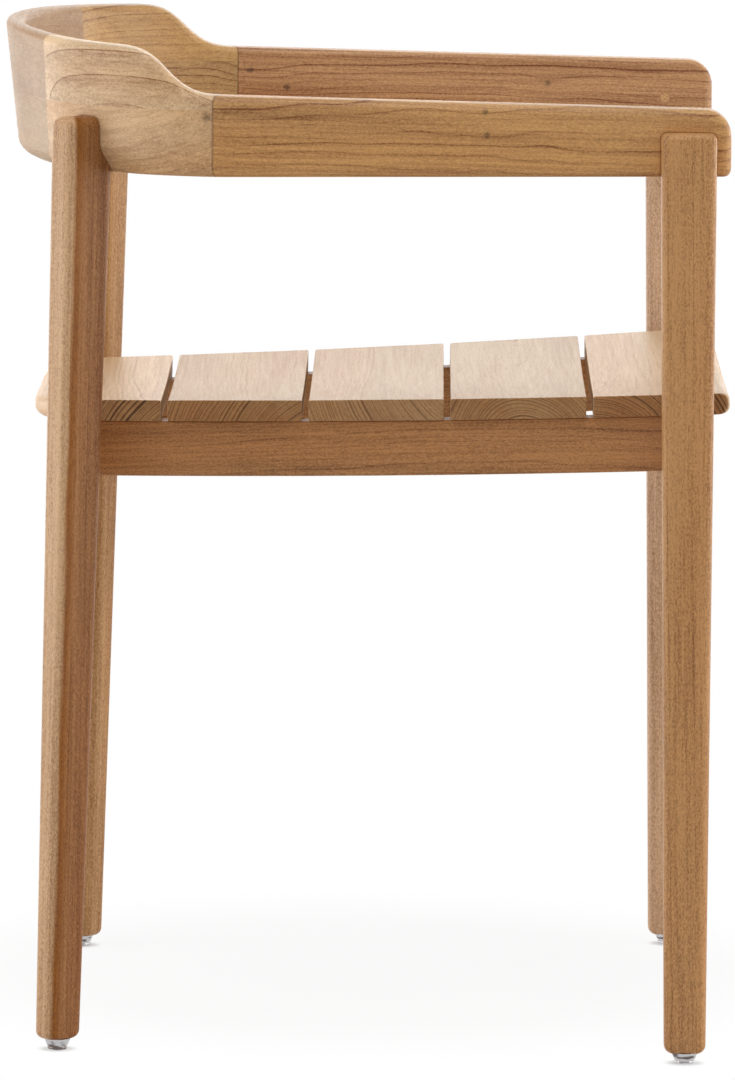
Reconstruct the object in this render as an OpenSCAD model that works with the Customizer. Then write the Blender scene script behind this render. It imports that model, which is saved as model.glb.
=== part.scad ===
// Slatted teak garden armchair with a horseshoe back rail.
// Front is -Y, up is +Z, and "right" is the sitter's right, on the -X side.
// The origin lies on the floor, under the middle of the chair's outline.

/* [Overall] */
// Front edge of the seat to the outermost edge of the back
chair_depth = 531; // [500:1:570]
// Distance between the outer faces of the two arms
arm_span = 518; // [490:1:560]
// Floor to the underside of the rail at the arm joints
rail_base_z = 637; // [610:1:680]

/* [Horseshoe rail] */
// Plan radius of the outer face at the two corners
corner_radius = 150; // [135:1:170]
// Turn of each corner, from the arm to the joint with the back, in degrees
corner_sweep = 70; // [64:1:74]
// Turn of the corner that belongs to the arm piece, in degrees
arm_turn = 8; // [4:1:12]
// Turn of the joint with the arm away from square across the rail, in degrees
arm_joint_skew = 9; // [0:1:12]
// Turn of the joint with the back away from square across the rail, in degrees
back_joint_skew = 16; // [0:1:20]
// Height of the rail over the middle of the back
back_height = 99; // [94:0.5:104]
// How much the top edge rises from the corners to the middle of the back
back_crown = 8.5; // [4:0.5:10]
// Height from the underside to the glue line between the two layers
layer_height = 48; // [44:1:50]
// Height of the arm at its joint with the corner
arm_rear_height = 58.5; // [55:0.5:63]
// Height of the arm at its front end
arm_front_height = 47.5; // [44:0.5:54]
// How much the underside of the arm rises towards its front end
arm_rise = 4; // [0:0.5:8]
// Setback of the arm's front end from the seat's front edge
arm_setback = 2; // [0:0.5:10]
// Thickness of the arms
arm_thickness = 26; // [24:0.5:30]
// Thickness of the back at its underside
back_base_thickness = 20; // [18:0.5:24]
// Thickness of the back at its top edge
back_top_thickness = 13; // [12.5:0.5:18]
// How much lower the inner top edge of the back is than the outer one
back_top_cant = 3; // [0:0.5:4]
// Backward lean of the middle of the back, in degrees
back_lean = 6.3; // [3:0.1:9]
// Radius of the hollow where the corner starts to rise
hollow_radius = 41; // [36:1:50]
// Radius of the crest where the rise ends
crest_radius = 35; // [26:1:38]
// Steepest slope of the rise, in degrees
rise_slope = 46; // [38:1:48]

/* [Rail edges] */
// Radius of the outer top edge
outer_top_radius = 7; // [4:0.5:7.5]
// What the outer top edge gains in radius halfway up the rise
rise_extra_radius = 3; // [0:0.5:4]
// Radius of the inner top edge
inner_top_radius = 4.5; // [3:0.5:5]
// Radius of the outer lower edge of the corners and the back
outer_base_radius = 9; // [5:0.5:10]
// Radius of the outer lower edge at the front end of the arm
front_base_radius = 5; // [3:0.5:8]
// Radius of the inner lower edge
inner_base_radius = 4; // [2:0.5:6]
// Side-view radius of the upper corner at the arm's front end
nose_radius = 19; // [10:0.5:22]
// Side-view radius of the lower corner at the arm's front end
chin_radius = 5; // [3:0.5:8]
// Plan radius of the upright edges of the arm's front end
nose_side_radius = 6; // [3:0.5:7]

/* [Legs] */
// Width of a leg at its top
leg_top_width = 40; // [36:0.5:46]
// Width of a leg at its foot
leg_foot_width = 30; // [26:0.5:36]
// Thickness of a leg at its top
leg_top_thickness = 26; // [24:0.5:32]
// Thickness of a leg at its foot
leg_foot_thickness = 20; // [19:0.5:26]
// Radius of a leg's long edges
leg_edge_radius = 6; // [3:0.5:8]
// Radius of the edge round a leg's top
leg_top_radius = 5; // [2:0.5:6]
// Chamfer round the foot
foot_chamfer = 1.2; // [0.5:0.1:2]
// How far the front legs stand proud of the arms
front_leg_proud = 15; // [12:0.5:17]
// Setback of the front legs from the seat's front edge
front_leg_setback = 12.5; // [8:0.5:20]
// Height of the front legs' top faces over the rail's underside
front_leg_lap = 35.5; // [30:0.5:40]
// Height of the rear legs' top faces over the rail's underside
rear_leg_lap = 39.5; // [30:0.5:42]
// Place of the rear legs along the corner's turn, in degrees
rear_leg_place = 48; // [43:0.5:52]
// Distance of a rear leg's axis outside the corner's lower outline
rear_leg_offset = 5; // [4:0.5:9]
// Turn of the rear legs' wide faces from the side view, in degrees
rear_leg_turn = 38; // [34:0.5:44]
// Rearward rake of the rear legs, in degrees
rear_leg_rake = 1.25; // [0:0.05:3]
// Outward splay of the rear legs, in degrees
rear_leg_splay = 1.3; // [0:0.05:1.6]

/* [Seat] */
// Floor to the top of the seat, at its middle along the ends of the slats
seat_height = 471.2; // [440:0.1:500]
// Fall of the seat towards the rear, in degrees
seat_tilt = 2.2; // [0:0.1:4]
// Hollow of the seat from front to rear
seat_hollow = 2.7; // [0:0.1:4]
// Hollow of each slat from end to end
slat_dish = 2.5; // [0:0.1:5]
// Number of slats
slat_count = 5; // [4:1:6]
// Width of a slat
slat_width = 97.8; // [80:0.1:98]
// How much narrower the rear slat is
rear_slat_trim = 3; // [0:0.5:10]
// Gap between slats
slat_gap = 5; // [4:0.1:8]
// Thickness of a slat
slat_thickness = 15.3; // [13:0.1:20]
// Width of the seat along its front edge
seat_front_width = 470; // [440:1:480]
// Width of the seat along its rear edge
seat_rear_width = 281; // [250:1:310]
// Radius of the slats' long edges
slat_edge_radius = 1.2; // [0.5:0.1:3]
// Radius of the seat's front and rear edges
seat_nose_radius = 6; // [2:0.5:6.5]
// Plan radius of the seat's front corners
seat_front_corner = 4; // [2:0.5:12]
// How far the rear slat's ends curve forward
seat_rear_corner = 30; // [5:1:36]
// Length of that curve along the rear edge
seat_rear_curve = 80; // [20:1:100]

/* [Seat frame] */
// Height of the side rails
side_rail_height = 40; // [32:0.1:46]
// Thickness of the side rails
side_rail_thickness = 20; // [18:0.5:26]
// Setback of the side rails from the slat ends
side_rail_setback = 5.5; // [3:0.5:12]
// Height of the cross rails
cross_rail_height = 38; // [32:0.5:42]
// Thickness of the cross rails
cross_rail_thickness = 22; // [20:0.5:24]
// Clear space between the slats' hollow and the cross rails
cross_rail_drop = 1.5; // [0.5:0.5:4]
// Thickness of the tenons
tenon_thickness = 9; // [7:0.5:10]
// Length of the tenons
tenon_length = 12; // [8:0.5:13]
// Shoulder above and below each tenon
tenon_shoulder = 7; // [5:0.5:9]

/* [Fixings] */
// Diameter of the dowels in the rail joints
rail_dowel_d = 8; // [6:0.5:9]
// Length of the dowels in the rail joints
rail_dowel_length = 40; // [30:1:46]
// Diameter of the dowels under the slats
slat_dowel_d = 8; // [6:0.5:10]
// Length of the dowels under the slats
slat_dowel_length = 26; // [20:1:32]
// Depth of the slat dowels in the slats
slat_dowel_grip = 9; // [6:0.5:10]
// Diameter of the wooden plugs over the screws
plug_d = 7.5; // [6.5:0.5:10]
// Depth of the plugs
plug_depth = 5; // [4:0.5:6]
// Diameter of the screw shanks
screw_d = 4.5; // [3.5:0.5:6]
// Height of the screw heads
screw_head_height = 3; // [2:0.5:4]
// Grip of the screws in the legs
screw_grip = 10; // [7:0.5:11]
// Height of the screws over the rail's underside
screw_height = 23; // [18:0.5:26]
// Distance of the front screws behind the front legs' front faces
front_screw_setback = 25.5; // [18:0.5:28]
// Height of the glides under the legs
glide_height = 8; // [5:0.5:12]
// Diameter of a glide where it meets the leg
glide_top_d = 17.5; // [14:0.5:18]
// Diameter of a glide's flat face on the floor
glide_foot_d = 14; // [10:0.5:16]
// Diameter of the glide nails
nail_d = 3; // [2:0.5:4]
// Length of a glide nail in the leg
nail_grip = 18; // [12:1:24]

/* [Clearances] */
// Clearance round dowels, screws and nails
pin_clearance = 0.1; // [0.05:0.05:0.2]
// Clearance round tenons and in the legs' notches
joint_clearance = 0.15; // [0.05:0.05:0.3]

/* [Hidden] */

seat_wood = "#dcbf9c";
rail_wood = "#c49a68";
leg_wood = "#b58a58";
frame_wood = "#96694a";
dowel_wood = "#d9c3a0";
steel = "#9a9ea2";

// Plan of the horseshoe's lower outer outline
half_span = arm_span / 2;
corner_x = half_span - corner_radius;
back_radius = corner_radius + corner_x / cos(corner_sweep);
back_half_turn = 90 - corner_sweep;
back_overhang = (back_height - outer_top_radius) * tan(back_lean);
back_y = chair_depth / 2 - back_overhang;
back_centre_y = back_y - back_radius;
corner_y = back_centre_y + (back_radius - corner_radius) * sin(corner_sweep);
front_y = -chair_depth / 2;
arm_front_y = front_y + arm_setback;
arm_joint_y = corner_y + corner_radius * sin(arm_turn);
arm_length = arm_joint_y - arm_front_y;
crest_height = back_height - back_crown;
rise = crest_height - arm_rear_height;
slope = min(rise_slope, acos(1 - rise / (hollow_radius + crest_radius)));
hollow_run = hollow_radius * sin(slope);
crest_run = crest_radius * sin(slope);
ramp_height = rise - (hollow_radius + crest_radius) * (1 - cos(slope));
ramp_run = ramp_height / tan(slope);
rise_run = hollow_run + ramp_run + crest_run;
layer_z = rail_base_z + layer_height;
skew_fade = 16;

// Seat
seat_depth = slat_count * slat_width + (slat_count - 1) * slat_gap - rear_slat_trim;
seat_mid_y = front_y + seat_depth / 2;
seat_taper = (seat_front_width - seat_rear_width) / 2 / seat_depth;
seat_mid_half = (seat_front_width + seat_rear_width) / 4;
slat_pitch = slat_width + slat_gap;

// Legs and seat frame
front_leg_x = half_span + front_leg_proud - leg_top_thickness / 2;
front_leg_face_y = front_y + front_leg_setback;
front_leg_top_z = rail_base_z + front_leg_lap;
rear_leg_top_z = rail_base_z + rear_leg_lap;
rear_leg_top = [
    corner_x + (corner_radius + rear_leg_offset) * cos(rear_leg_place),
    corner_y + (corner_radius + rear_leg_offset) * sin(rear_leg_place)
];
rear_leg_drop = rear_leg_top_z - glide_height;
rear_leg_foot = rear_leg_top + rear_leg_drop * [tan(rear_leg_splay), tan(rear_leg_rake)];
front_cross_y = front_leg_face_y + leg_top_width / 2 - leg_taper_at(cross_mid_z(front_leg_face_y)) / 2;
front_cross_z = cross_top_z(front_cross_y) - cross_rail_height;
rear_cross_y = rear_cross_mid_y(seat_mid_y + seat_depth / 2);
rear_cross_z = cross_top_z(rear_cross_y) - cross_rail_height;
side_front_y = front_cross_y + cross_rail_thickness / 2;
side_rear_y = rear_cross_y - cross_rail_thickness / 2;

// Fade from 1 in the middle of the back to 0 at the arms
function fade(x) = cos(90 * min(abs(x) / half_span, 1));
function blend(a, b, t) = a + (b - a) * t;

// Height of the seat's upper face over the slat ends at depth y
function seat_z(y) =
    let (d = y - seat_mid_y)
    seat_height - d * tan(seat_tilt) + seat_hollow * pow(2 * d / seat_depth, 2);
function seat_half(y) = seat_mid_half - (y - seat_mid_y) * seat_taper;

function leg_taper_at(z) =
    (leg_top_width - leg_foot_width) * (front_leg_top_z - z) / (front_leg_top_z - glide_height);
function cross_top_z(y) = seat_z(y) - slat_thickness - slat_dish - cross_rail_drop;
function cross_mid_z(y) = cross_top_z(y) - cross_rail_height / 2;

// A rear leg's axis and widths at height z, for the left side
function rear_share(z) = (rear_leg_top_z - z) / rear_leg_drop;
function rear_axis(z) = blend(rear_leg_top, rear_leg_foot, rear_share(z));
function rear_thickness(z) = blend(leg_top_thickness, leg_foot_thickness, rear_share(z));

// The rear cross rail meets the middle of the rear legs' wide inner faces
function rear_cross_mid_y(y) =
    let (z = cross_mid_z(y))
    rear_axis(z)[1] + rear_thickness(z) / 2 * sin(rear_leg_turn);

// Sections near a joint turn with it, so that the joint's two faces are one and the same
function arm_skew(turn) =
    arm_joint_skew * (turn < arm_turn ? turn / arm_turn : max(0, 1 - (turn - arm_turn) / skew_fade));
function corner_skew(turn) =
    arm_skew(turn) - back_joint_skew * max(0, 1 - (corner_sweep - turn) / skew_fade);
function back_skew(turn) =
    back_joint_skew * sign(turn) * max(0, 1 - (back_half_turn - abs(turn)) / skew_fade);

// A station of the rail is [x, y, outward x, outward y] on the lower outer outline
function arm_station(y) = [-half_span, y, -1, 0];
function corner_station(turn) =
    let (skew = corner_skew(turn))
    [
        -corner_x - corner_radius * cos(turn), corner_y + corner_radius * sin(turn),
        -cos(turn + skew) / cos(skew), sin(turn + skew) / cos(skew)
    ];
function back_station(turn) =
    let (skew = back_skew(turn))
    [
        back_radius * sin(turn), back_centre_y + back_radius * cos(turn),
        sin(turn + skew) / cos(skew), cos(turn + skew) / cos(skew)
    ];

// Rise of the corner's top edge at distance d behind the arm joint
function rise_at(d) =
    d <= 0 ? 0 :
    d < hollow_run ? hollow_radius - sqrt(pow(hollow_radius, 2) - d * d) :
    d < hollow_run + ramp_run
        ? hollow_radius * (1 - cos(slope)) + (d - hollow_run) * tan(slope) :
    d < rise_run
        ? rise - crest_radius + sqrt(pow(crest_radius, 2) - pow(rise_run - d, 2)) :
    rise;

function arm_share(y) = min(1, max(0, (arm_joint_y - y) / arm_length));
function top_z(x, y) =
    rail_base_z + blend(arm_rear_height, arm_front_height + arm_rise, arm_share(y))
    + rise_at(y - arm_joint_y) + back_crown * fade(x);
function base_z(s) = rail_base_z + arm_rise * arm_share(s[1]);
function outer_top_r(s) =
    let (u = min(1, max(0, (s[1] - arm_joint_y) / rise_run)))
    outer_top_radius + rise_extra_radius * pow(sin(180 * u), 2);
function outer_base_r(s) = blend(outer_base_radius, front_base_radius, arm_share(s[1]));

function thickness_at(s, z) = blend(
    blend(arm_thickness, back_base_thickness, fade(s[0])),
    blend(arm_thickness, back_top_thickness, fade(s[0])),
    (z - rail_base_z) / back_height
);

// Point of the rail at depth u in from the outer face and at height z
function rail_point(s, u, z) =
    let (out = (z - rail_base_z) * tan(back_lean * fade(s[0])) - u)
    [s[0] + s[2] * out, s[1] + s[3] * out, z];

// Heights of the outer and the inner top edge: the rise is one cut in the side view, so each
// edge starts to climb at the same depth y, and the top face cants over between them
function top_edges(s, raise = 0) =
    let (
        z = top_z(s[0], s[1]),
        outer = rail_point(s, 0, z),
        inner = rail_point(s, thickness_at(s, z), z)
    )
    [
        top_z(s[0], outer[1]) + raise,
        top_z(s[0], inner[1]) + raise - back_top_cant * fade(s[0])
    ];

glue_line = [layer_z, layer_z];

// Cross-section of the rail from height z0 to its top edges. A radius is 0 at a glued edge.
// side is how far both faces are drawn in, and steps the facets of each rounded edge.
function rail_ring(s, z0, tops, r_ob, r_ib, r_it, r_ot, side = 0, steps = 5) = let (
    top_thickness = thickness_at(s, tops[1])
) [
    for (i = [0:r_ob > 0 ? steps : 0])
        let (a = 90 * i / steps)
        rail_point(s, side + r_ob * (1 - cos(a)), z0 + r_ob * (1 - sin(a))),
    for (i = [0:r_ib > 0 ? steps : 0])
        let (a = 90 * i / steps, z = z0 + r_ib * (1 - cos(a)))
        rail_point(s, thickness_at(s, z) - side - r_ib * (1 - sin(a)), z),
    for (i = [0:r_it > 0 ? steps : 0])
        let (
            a = 90 * i / steps,
            in = side + r_it * (1 - cos(a)),
            z = blend(tops[1], tops[0], in / top_thickness) - r_it * (1 - sin(a))
        )
        rail_point(s, thickness_at(s, z) - in, z),
    for (i = [0:r_ot > 0 ? steps : 0])
        let (a = 90 * i / steps, u = side + r_ot * (1 - sin(a)))
        rail_point(s, u, blend(tops[0], tops[1], u / top_thickness) - r_ot * (1 - cos(a)))
];

// Skin through a row of rings that have equally many points
module loft(rings) {
    n = len(rings[0]);
    last = len(rings) - 1;
    polyhedron(
        points = [for (r = rings) each r],
        faces = concat(
            [[for (j = [n - 1:-1:0]) j]],
            [for (i = [0:last - 1], j = [0:n - 1])
                [i * n + j, i * n + (j + 1) % n, (i + 1) * n + (j + 1) % n]],
            [for (i = [0:last - 1], j = [0:n - 1])
                [i * n + j, (i + 1) * n + (j + 1) % n, (i + 1) * n + j]],
            [[for (j = [0:n - 1]) last * n + j]]
        )
    );
}

// Bore or pin of diameter d along direction dir, centred on point p
module pin_at(p, dir, d, length) {
    turn = atan2(dir[1], dir[0]);
    tip = acos(dir[2] / norm(dir));
    translate(p)
        rotate([0, tip, turn])
            cylinder(d = d, h = length, center = true, $fn = 32);
}

module mirrored() {
    mirror([1, 0, 0])
        children();
}

module both_sides() {
    children();
    mirrored()
        children();
}

// Joints of the rail: the arm joint and the joint with the back
joint_turns = [arm_turn, corner_sweep];
dowel_shares = [0.32, 0.68];
lower_dowel_heights = layer_height * dowel_shares;
upper_dowel_heights = [for (share = dowel_shares) blend(layer_height, crest_height, share)];

module rail_dowel_row(turn, heights, d, length) {
    s = corner_station(turn);
    for (h = heights)
        pin_at(rail_point(s, thickness_at(s, rail_base_z + h) / 2, rail_base_z + h),
            [sin(turn), cos(turn), 0], d, length);
}

module lower_dowels(turn, gap = 0) {
    rail_dowel_row(turn, lower_dowel_heights, rail_dowel_d + 2 * gap, rail_dowel_length + 4 * gap);
}

module upper_dowels(gap = 0) {
    rail_dowel_row(corner_sweep, upper_dowel_heights, rail_dowel_d + 2 * gap,
        rail_dowel_length + 4 * gap);
}

// Arm, from its rounded front end to the joint with the corner
function nose_inset(d, r) = d >= r ? 0 : r - sqrt(r * r - pow(r - d, 2));

function arm_ring(s, d, gap = 0) = rail_ring(
    s,
    base_z(s) + nose_inset(d, chin_radius) - gap,
    top_edges(s, gap - nose_inset(d, nose_radius)),
    outer_base_r(s), inner_base_radius, inner_top_radius, outer_top_radius,
    nose_inset(d, nose_side_radius) - gap
);

arm_nose_steps = 9;
arm_turn_steps = 4;

module arm_body(gap = 0) {
    loft(concat(
        [for (i = [0:arm_nose_steps])
            let (d = nose_radius * (1 - cos(90 * i / arm_nose_steps)))
            arm_ring(arm_station(arm_front_y + d), d, gap)],
        [for (i = [0:arm_turn_steps])
            arm_ring(corner_station(arm_turn * i / arm_turn_steps), arm_length, gap)]
    ));
}

module arm_right() {
    color(rail_wood)
        difference() {
            arm_body();
            lower_dowels(arm_turn, pin_clearance);
            front_screw_bore();
        }
}

module arm_left() {
    mirrored()
        arm_right();
}

// Corner stations: close together until the inner edge ends its rise, wider apart behind it
rise_limit = corner_sweep - arm_turn;
rise_end_y = arm_joint_y + rise_run;
rise_end_turn = asin(min(sin(rise_limit), (rise_end_y - corner_y) / (corner_radius - arm_thickness)));
rise_steps = 17;
corner_steps = 7;
corner_turns = concat(
    [for (i = [0:rise_steps]) blend(arm_turn, rise_end_turn, i / rise_steps)],
    [for (i = [1:corner_steps]) blend(rise_end_turn, corner_sweep, i / corner_steps)]
);

module corner_lower_body(gap = 0) {
    loft([for (t = corner_turns)
        let (s = corner_station(t))
        rail_ring(s, base_z(s) - gap, glue_line, outer_base_radius, inner_base_radius, 0, 0, -gap)]);
}

module corner_lower_right() {
    color(rail_wood)
        difference() {
            corner_lower_body();
            lower_dowels(arm_turn, pin_clearance);
            lower_dowels(corner_sweep, pin_clearance);
            rear_screw_bore();
        }
}

module corner_lower_left() {
    mirrored()
        corner_lower_right();
}

// The upper layer carries the sweeping rise from the arm to the back
module corner_upper_right() {
    color(rail_wood)
        difference() {
            loft([for (t = corner_turns)
                let (s = corner_station(t))
                rail_ring(s, layer_z, top_edges(s), 0, 0, inner_top_radius, outer_top_r(s))]);
            upper_dowels(pin_clearance);
        }
}

module corner_upper_left() {
    mirrored()
        corner_upper_right();
}

back_steps = 18;
back_turns = [for (i = [0:back_steps]) blend(-back_half_turn, back_half_turn, i / back_steps)];

module back_lower() {
    color(rail_wood)
        difference() {
            loft([for (t = back_turns)
                rail_ring(back_station(t), rail_base_z, glue_line,
                    outer_base_radius, inner_base_radius, 0, 0)]);
            both_sides()
                lower_dowels(corner_sweep, pin_clearance);
        }
}

module back_upper() {
    color(rail_wood)
        difference() {
            loft([for (t = back_turns)
                let (s = back_station(t))
                rail_ring(s, layer_z, top_edges(s), 0, 0, inner_top_radius, outer_top_radius)]);
            both_sides()
                upper_dowels(pin_clearance);
        }
}

// Rounded rectangle of a leg, w along its wide face and t across
function leg_outline(w, t, r, steps = 4) = [
    for (k = [0:3], i = [0:steps])
        let (a = 90 * (k + i / steps))
        [
            (k == 0 || k == 3 ? 1 : -1) * (w / 2 - r) + r * cos(a),
            (k < 2 ? 1 : -1) * (t / 2 - r) + r * sin(a)
        ]
];

// One ring of a leg: c is the axis, turn the angle of the wide faces from the Y axis
function leg_ring(c, z, w, t, turn, inset) = [
    for (p = leg_outline(w - 2 * inset, t - 2 * inset, max(least_radius, leg_edge_radius - inset)))
        [c[0] - p[0] * sin(turn) + p[1] * cos(turn), c[1] + p[0] * cos(turn) + p[1] * sin(turn), z]
];

leg_top_steps = 5;
least_radius = 0.4;

// Heights and insets of a leg's rings, from the foot up
function leg_levels(top) = concat(
    [[glide_height, foot_chamfer], [glide_height + foot_chamfer, 0]],
    [for (i = [0:leg_top_steps])
        let (a = 90 * i / leg_top_steps)
        [top - leg_top_radius * (1 - sin(a)), leg_top_radius * (1 - cos(a))]]
);

module front_leg_blank() {
    loft([for (level = leg_levels(front_leg_top_z))
        let (
            share = (front_leg_top_z - level[0]) / (front_leg_top_z - glide_height),
            w = blend(leg_top_width, leg_foot_width, share),
            t = blend(leg_top_thickness, leg_foot_thickness, share)
        )
        leg_ring([-front_leg_x, front_leg_face_y + w / 2], level[0], w, t, 0, level[1])]);
}

module rear_leg_blank() {
    loft([for (level = leg_levels(rear_leg_top_z))
        let (
            c = rear_axis(level[0]),
            w = blend(leg_top_width, leg_foot_width, rear_share(level[0]))
        )
        leg_ring([-c[0], c[1]], level[0], w, rear_thickness(level[0]), rear_leg_turn, level[1])]);
}

front_foot = [front_leg_x, front_leg_face_y + leg_foot_width / 2];

module front_leg_right() {
    color(leg_wood)
        difference() {
            front_leg_blank();
            arm_body(joint_clearance);
            front_screw(pin_clearance);
            front_cross_tenon(joint_clearance);
            nail_shank(front_foot, pin_clearance);
        }
}

module front_leg_left() {
    mirrored()
        front_leg_right();
}

module rear_leg_right() {
    color(leg_wood)
        difference() {
            rear_leg_blank();
            corner_lower_body(joint_clearance);
            rear_screw(pin_clearance);
            rear_cross_tenon(joint_clearance);
            nail_shank(rear_leg_foot, pin_clearance);
        }
}

module rear_leg_left() {
    mirrored()
        rear_leg_right();
}

// Screws run from inside the rail into the legs, under wooden plugs
screw_z = rail_base_z + screw_height;
front_screw_y = front_leg_face_y + front_screw_setback;
front_screw_face = rail_point(arm_station(front_screw_y), arm_thickness, screw_z);
front_screw_dir = [-1, 0, 0];
rear_screw_station = corner_station(rear_leg_place);
rear_screw_depth = thickness_at(rear_screw_station, screw_z);
rear_screw_face = rail_point(rear_screw_station, rear_screw_depth, screw_z);
rear_screw_dir = [-cos(rear_leg_place), sin(rear_leg_place), 0];
screw_head_d = plug_d - 1;
bore_start = 1;

// Pin from depth start to depth end behind a face of the rail
module pin_from(face, dir, d, start, end) {
    pin_at(face + dir * (start + end) / 2, dir, d, end - start);
}

module screw_body(face, dir, rail_depth, gap) {
    pin_from(face, dir, screw_head_d + 2 * gap, plug_depth, plug_depth + screw_head_height);
    pin_from(face, dir, screw_d + 2 * gap, plug_depth + gap, rail_depth + screw_grip + gap);
}

module plug_bore(face, dir) {
    pin_from(face, dir, plug_d, -bore_start, plug_depth + pin_clearance);
}

module plug(face, dir) {
    pin_from(face, dir, plug_d - 2 * pin_clearance, 0, plug_depth - pin_clearance);
}

module front_screw(gap = 0) {
    screw_body(front_screw_face, front_screw_dir, arm_thickness, gap);
}

module rear_screw(gap = 0) {
    screw_body(rear_screw_face, rear_screw_dir, rear_screw_depth, gap);
}

module front_screw_bore() {
    front_screw(pin_clearance);
    plug_bore(front_screw_face, front_screw_dir);
}

module rear_screw_bore() {
    rear_screw(pin_clearance);
    plug_bore(rear_screw_face, rear_screw_dir);
}

module frame_screws() {
    color(steel)
        both_sides() {
            front_screw();
            rear_screw();
        }
}

module screw_plugs() {
    color(dowel_wood)
        both_sides() {
            plug(front_screw_face, front_screw_dir);
            plug(rear_screw_face, rear_screw_dir);
        }
}

module rail_dowels() {
    color(dowel_wood)
        both_sides() {
            for (t = joint_turns)
                lower_dowels(t);
            upper_dowels();
        }
}

// Rounded outline of a slat's section between depths y0 and y1: [y, z under the upper face]
function slat_outline(y0, y1, r_front, r_rear, steps = 3) = concat(
    [for (i = [0:steps])
        let (a = 90 * i / steps)
        [y0 + r_front * (1 - sin(a)), -slat_thickness + r_front * (1 - cos(a))]],
    [for (i = [0:steps])
        let (a = 90 * i / steps)
        [y0 + r_front * (1 - cos(a)), -r_front * (1 - sin(a))]],
    [for (i = [0:steps])
        let (a = 90 * i / steps)
        [y1 - r_rear * (1 - sin(a)), -r_rear * (1 - cos(a))]],
    [for (i = [0:steps])
        let (a = 90 * i / steps)
        [y1 - r_rear * (1 - cos(a)), -slat_thickness + r_rear * (1 - sin(a))]]
);

// Section at share v of the slat's half length, from -1 to 1: the ends follow the seat's taper
// and the upper face its hollow. front_in and rear_in draw the long edges in at the corners.
function slat_ring(y0, y1, v, r_front, r_rear, front_in, rear_in) =
    let (drop = slat_dish * (1 - v * v))
    [for (p = slat_outline(y0 + front_in, y1 - rear_in, r_front, r_rear))
        [
            v * seat_half(p[0]),
            p[0],
            blend(seat_z(y0), seat_z(y1), (p[0] - y0) / (y1 - y0)) + p[1] - drop
        ]];

slat_steps = 8;
slat_curve_steps = 6;

// How far an edge is drawn in at share v, by a quarter ellipse that spans run along the edge
function corner_inset(v, half, run, depth) =
    let (u = max(0, (abs(v) - 1) * half / run + 1))
    depth * (1 - sqrt(1 - u * u));

// Shares of the half length at which a slat gets a section, from the middle out
function slat_shares(half, run) =
    let (flat_share = 1 - run / half)
    concat(
        [for (i = [0:slat_steps]) flat_share * i / slat_steps],
        [for (i = [1:slat_curve_steps]) blend(flat_share, 1, sin(90 * i / slat_curve_steps))]
    );

module slat(k) {
    y0 = front_y + (k - 1) * slat_pitch;
    y1 = y0 + slat_width - (k == slat_count ? rear_slat_trim : 0);
    first = k == 1;
    last = k == slat_count;
    half = seat_half((y0 + y1) / 2);
    run = first ? seat_front_corner : last ? seat_rear_curve : 0;
    outward = run > 0 ? slat_shares(half, run) : [for (i = [0:slat_steps]) i / slat_steps];
    shares = concat([for (i = [len(outward) - 1:-1:1]) -outward[i]], outward);
    loft([for (v = shares)
        slat_ring(y0, y1, v,
            first ? seat_nose_radius : slat_edge_radius,
            last ? seat_nose_radius : slat_edge_radius,
            first ? corner_inset(v, half, run, seat_front_corner) : 0,
            last ? corner_inset(v, half, run, seat_rear_corner) : 0)]);
}

// Slat dowels: two where each slat crosses a side rail
slat_dowel_share = 0.24;
slat_dowel_inset = slat_width * slat_dowel_share;
slat_dowel_centre_drop = slat_dowel_length / 2 - slat_dowel_grip;

module slat_dowel_group(k, gap = 0) {
    mid = front_y + (k - 1) * slat_pitch + slat_width / 2;
    for (dy = [-1, 1] * slat_dowel_inset) {
        y = mid + dy;
        if (y > side_front_y && y < side_rear_y) {
            x = side_rail_x(y) - side_rail_thickness / 2;
            drop = slat_dish * (1 - pow(x / seat_half(y), 2));
            z = seat_z(y) - slat_thickness - drop - slat_dowel_centre_drop;
            both_sides()
                pin_at([-x, y, z], [0, 0, 1], slat_dowel_d + 2 * gap, slat_dowel_length + 2 * gap);
        }
    }
}

module drilled_slat(k) {
    color(seat_wood)
        difference() {
            slat(k);
            slat_dowel_group(k, pin_clearance);
        }
}

module slat_dowels() {
    color(dowel_wood)
        for (k = [1:slat_count])
            slat_dowel_group(k);
}

module seat_slat_1() { drilled_slat(1); }
module seat_slat_2() { drilled_slat(2); }
module seat_slat_3() { drilled_slat(3); }
module seat_slat_4() { drilled_slat(4); }
module seat_slat_5() { drilled_slat(5); }

// Side rails: they follow the seat's taper and hollow from one cross rail to the other
side_rail_steps = 8;
side_rail_edge = 0.8;

function side_rail_x(y) = seat_half(y) - side_rail_setback;
function side_rail_top(y) =
    seat_z(y) - slat_thickness
    - slat_dish * (1 - pow((side_rail_x(y) - side_rail_thickness) / seat_half(y), 2));

function side_rail_ring(y) =
    let (x = -side_rail_x(y), z1 = side_rail_top(y), z0 = z1 - side_rail_height, e = side_rail_edge)
    [
        [x, y, z0 + e], [x + e, y, z0],
        [x + side_rail_thickness - e, y, z0], [x + side_rail_thickness, y, z0 + e],
        [x + side_rail_thickness, y, z1 - e], [x + side_rail_thickness - e, y, z1],
        [x + e, y, z1], [x, y, z1 - e]
    ];

module side_rail_tenons(gap = 0) {
    for (end = [[side_front_y, -1], [side_rear_y, 1]]) {
        y = end[0];
        z = side_rail_top(y) - side_rail_height / 2;
        translate([-side_rail_x(y) + side_rail_thickness / 2, y + end[1] * tenon_length / 2, z])
            cube([tenon_thickness + 2 * gap, tenon_length + 2 * gap,
                side_rail_height - 3 * tenon_shoulder + 2 * gap], center = true);
    }
}

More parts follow.
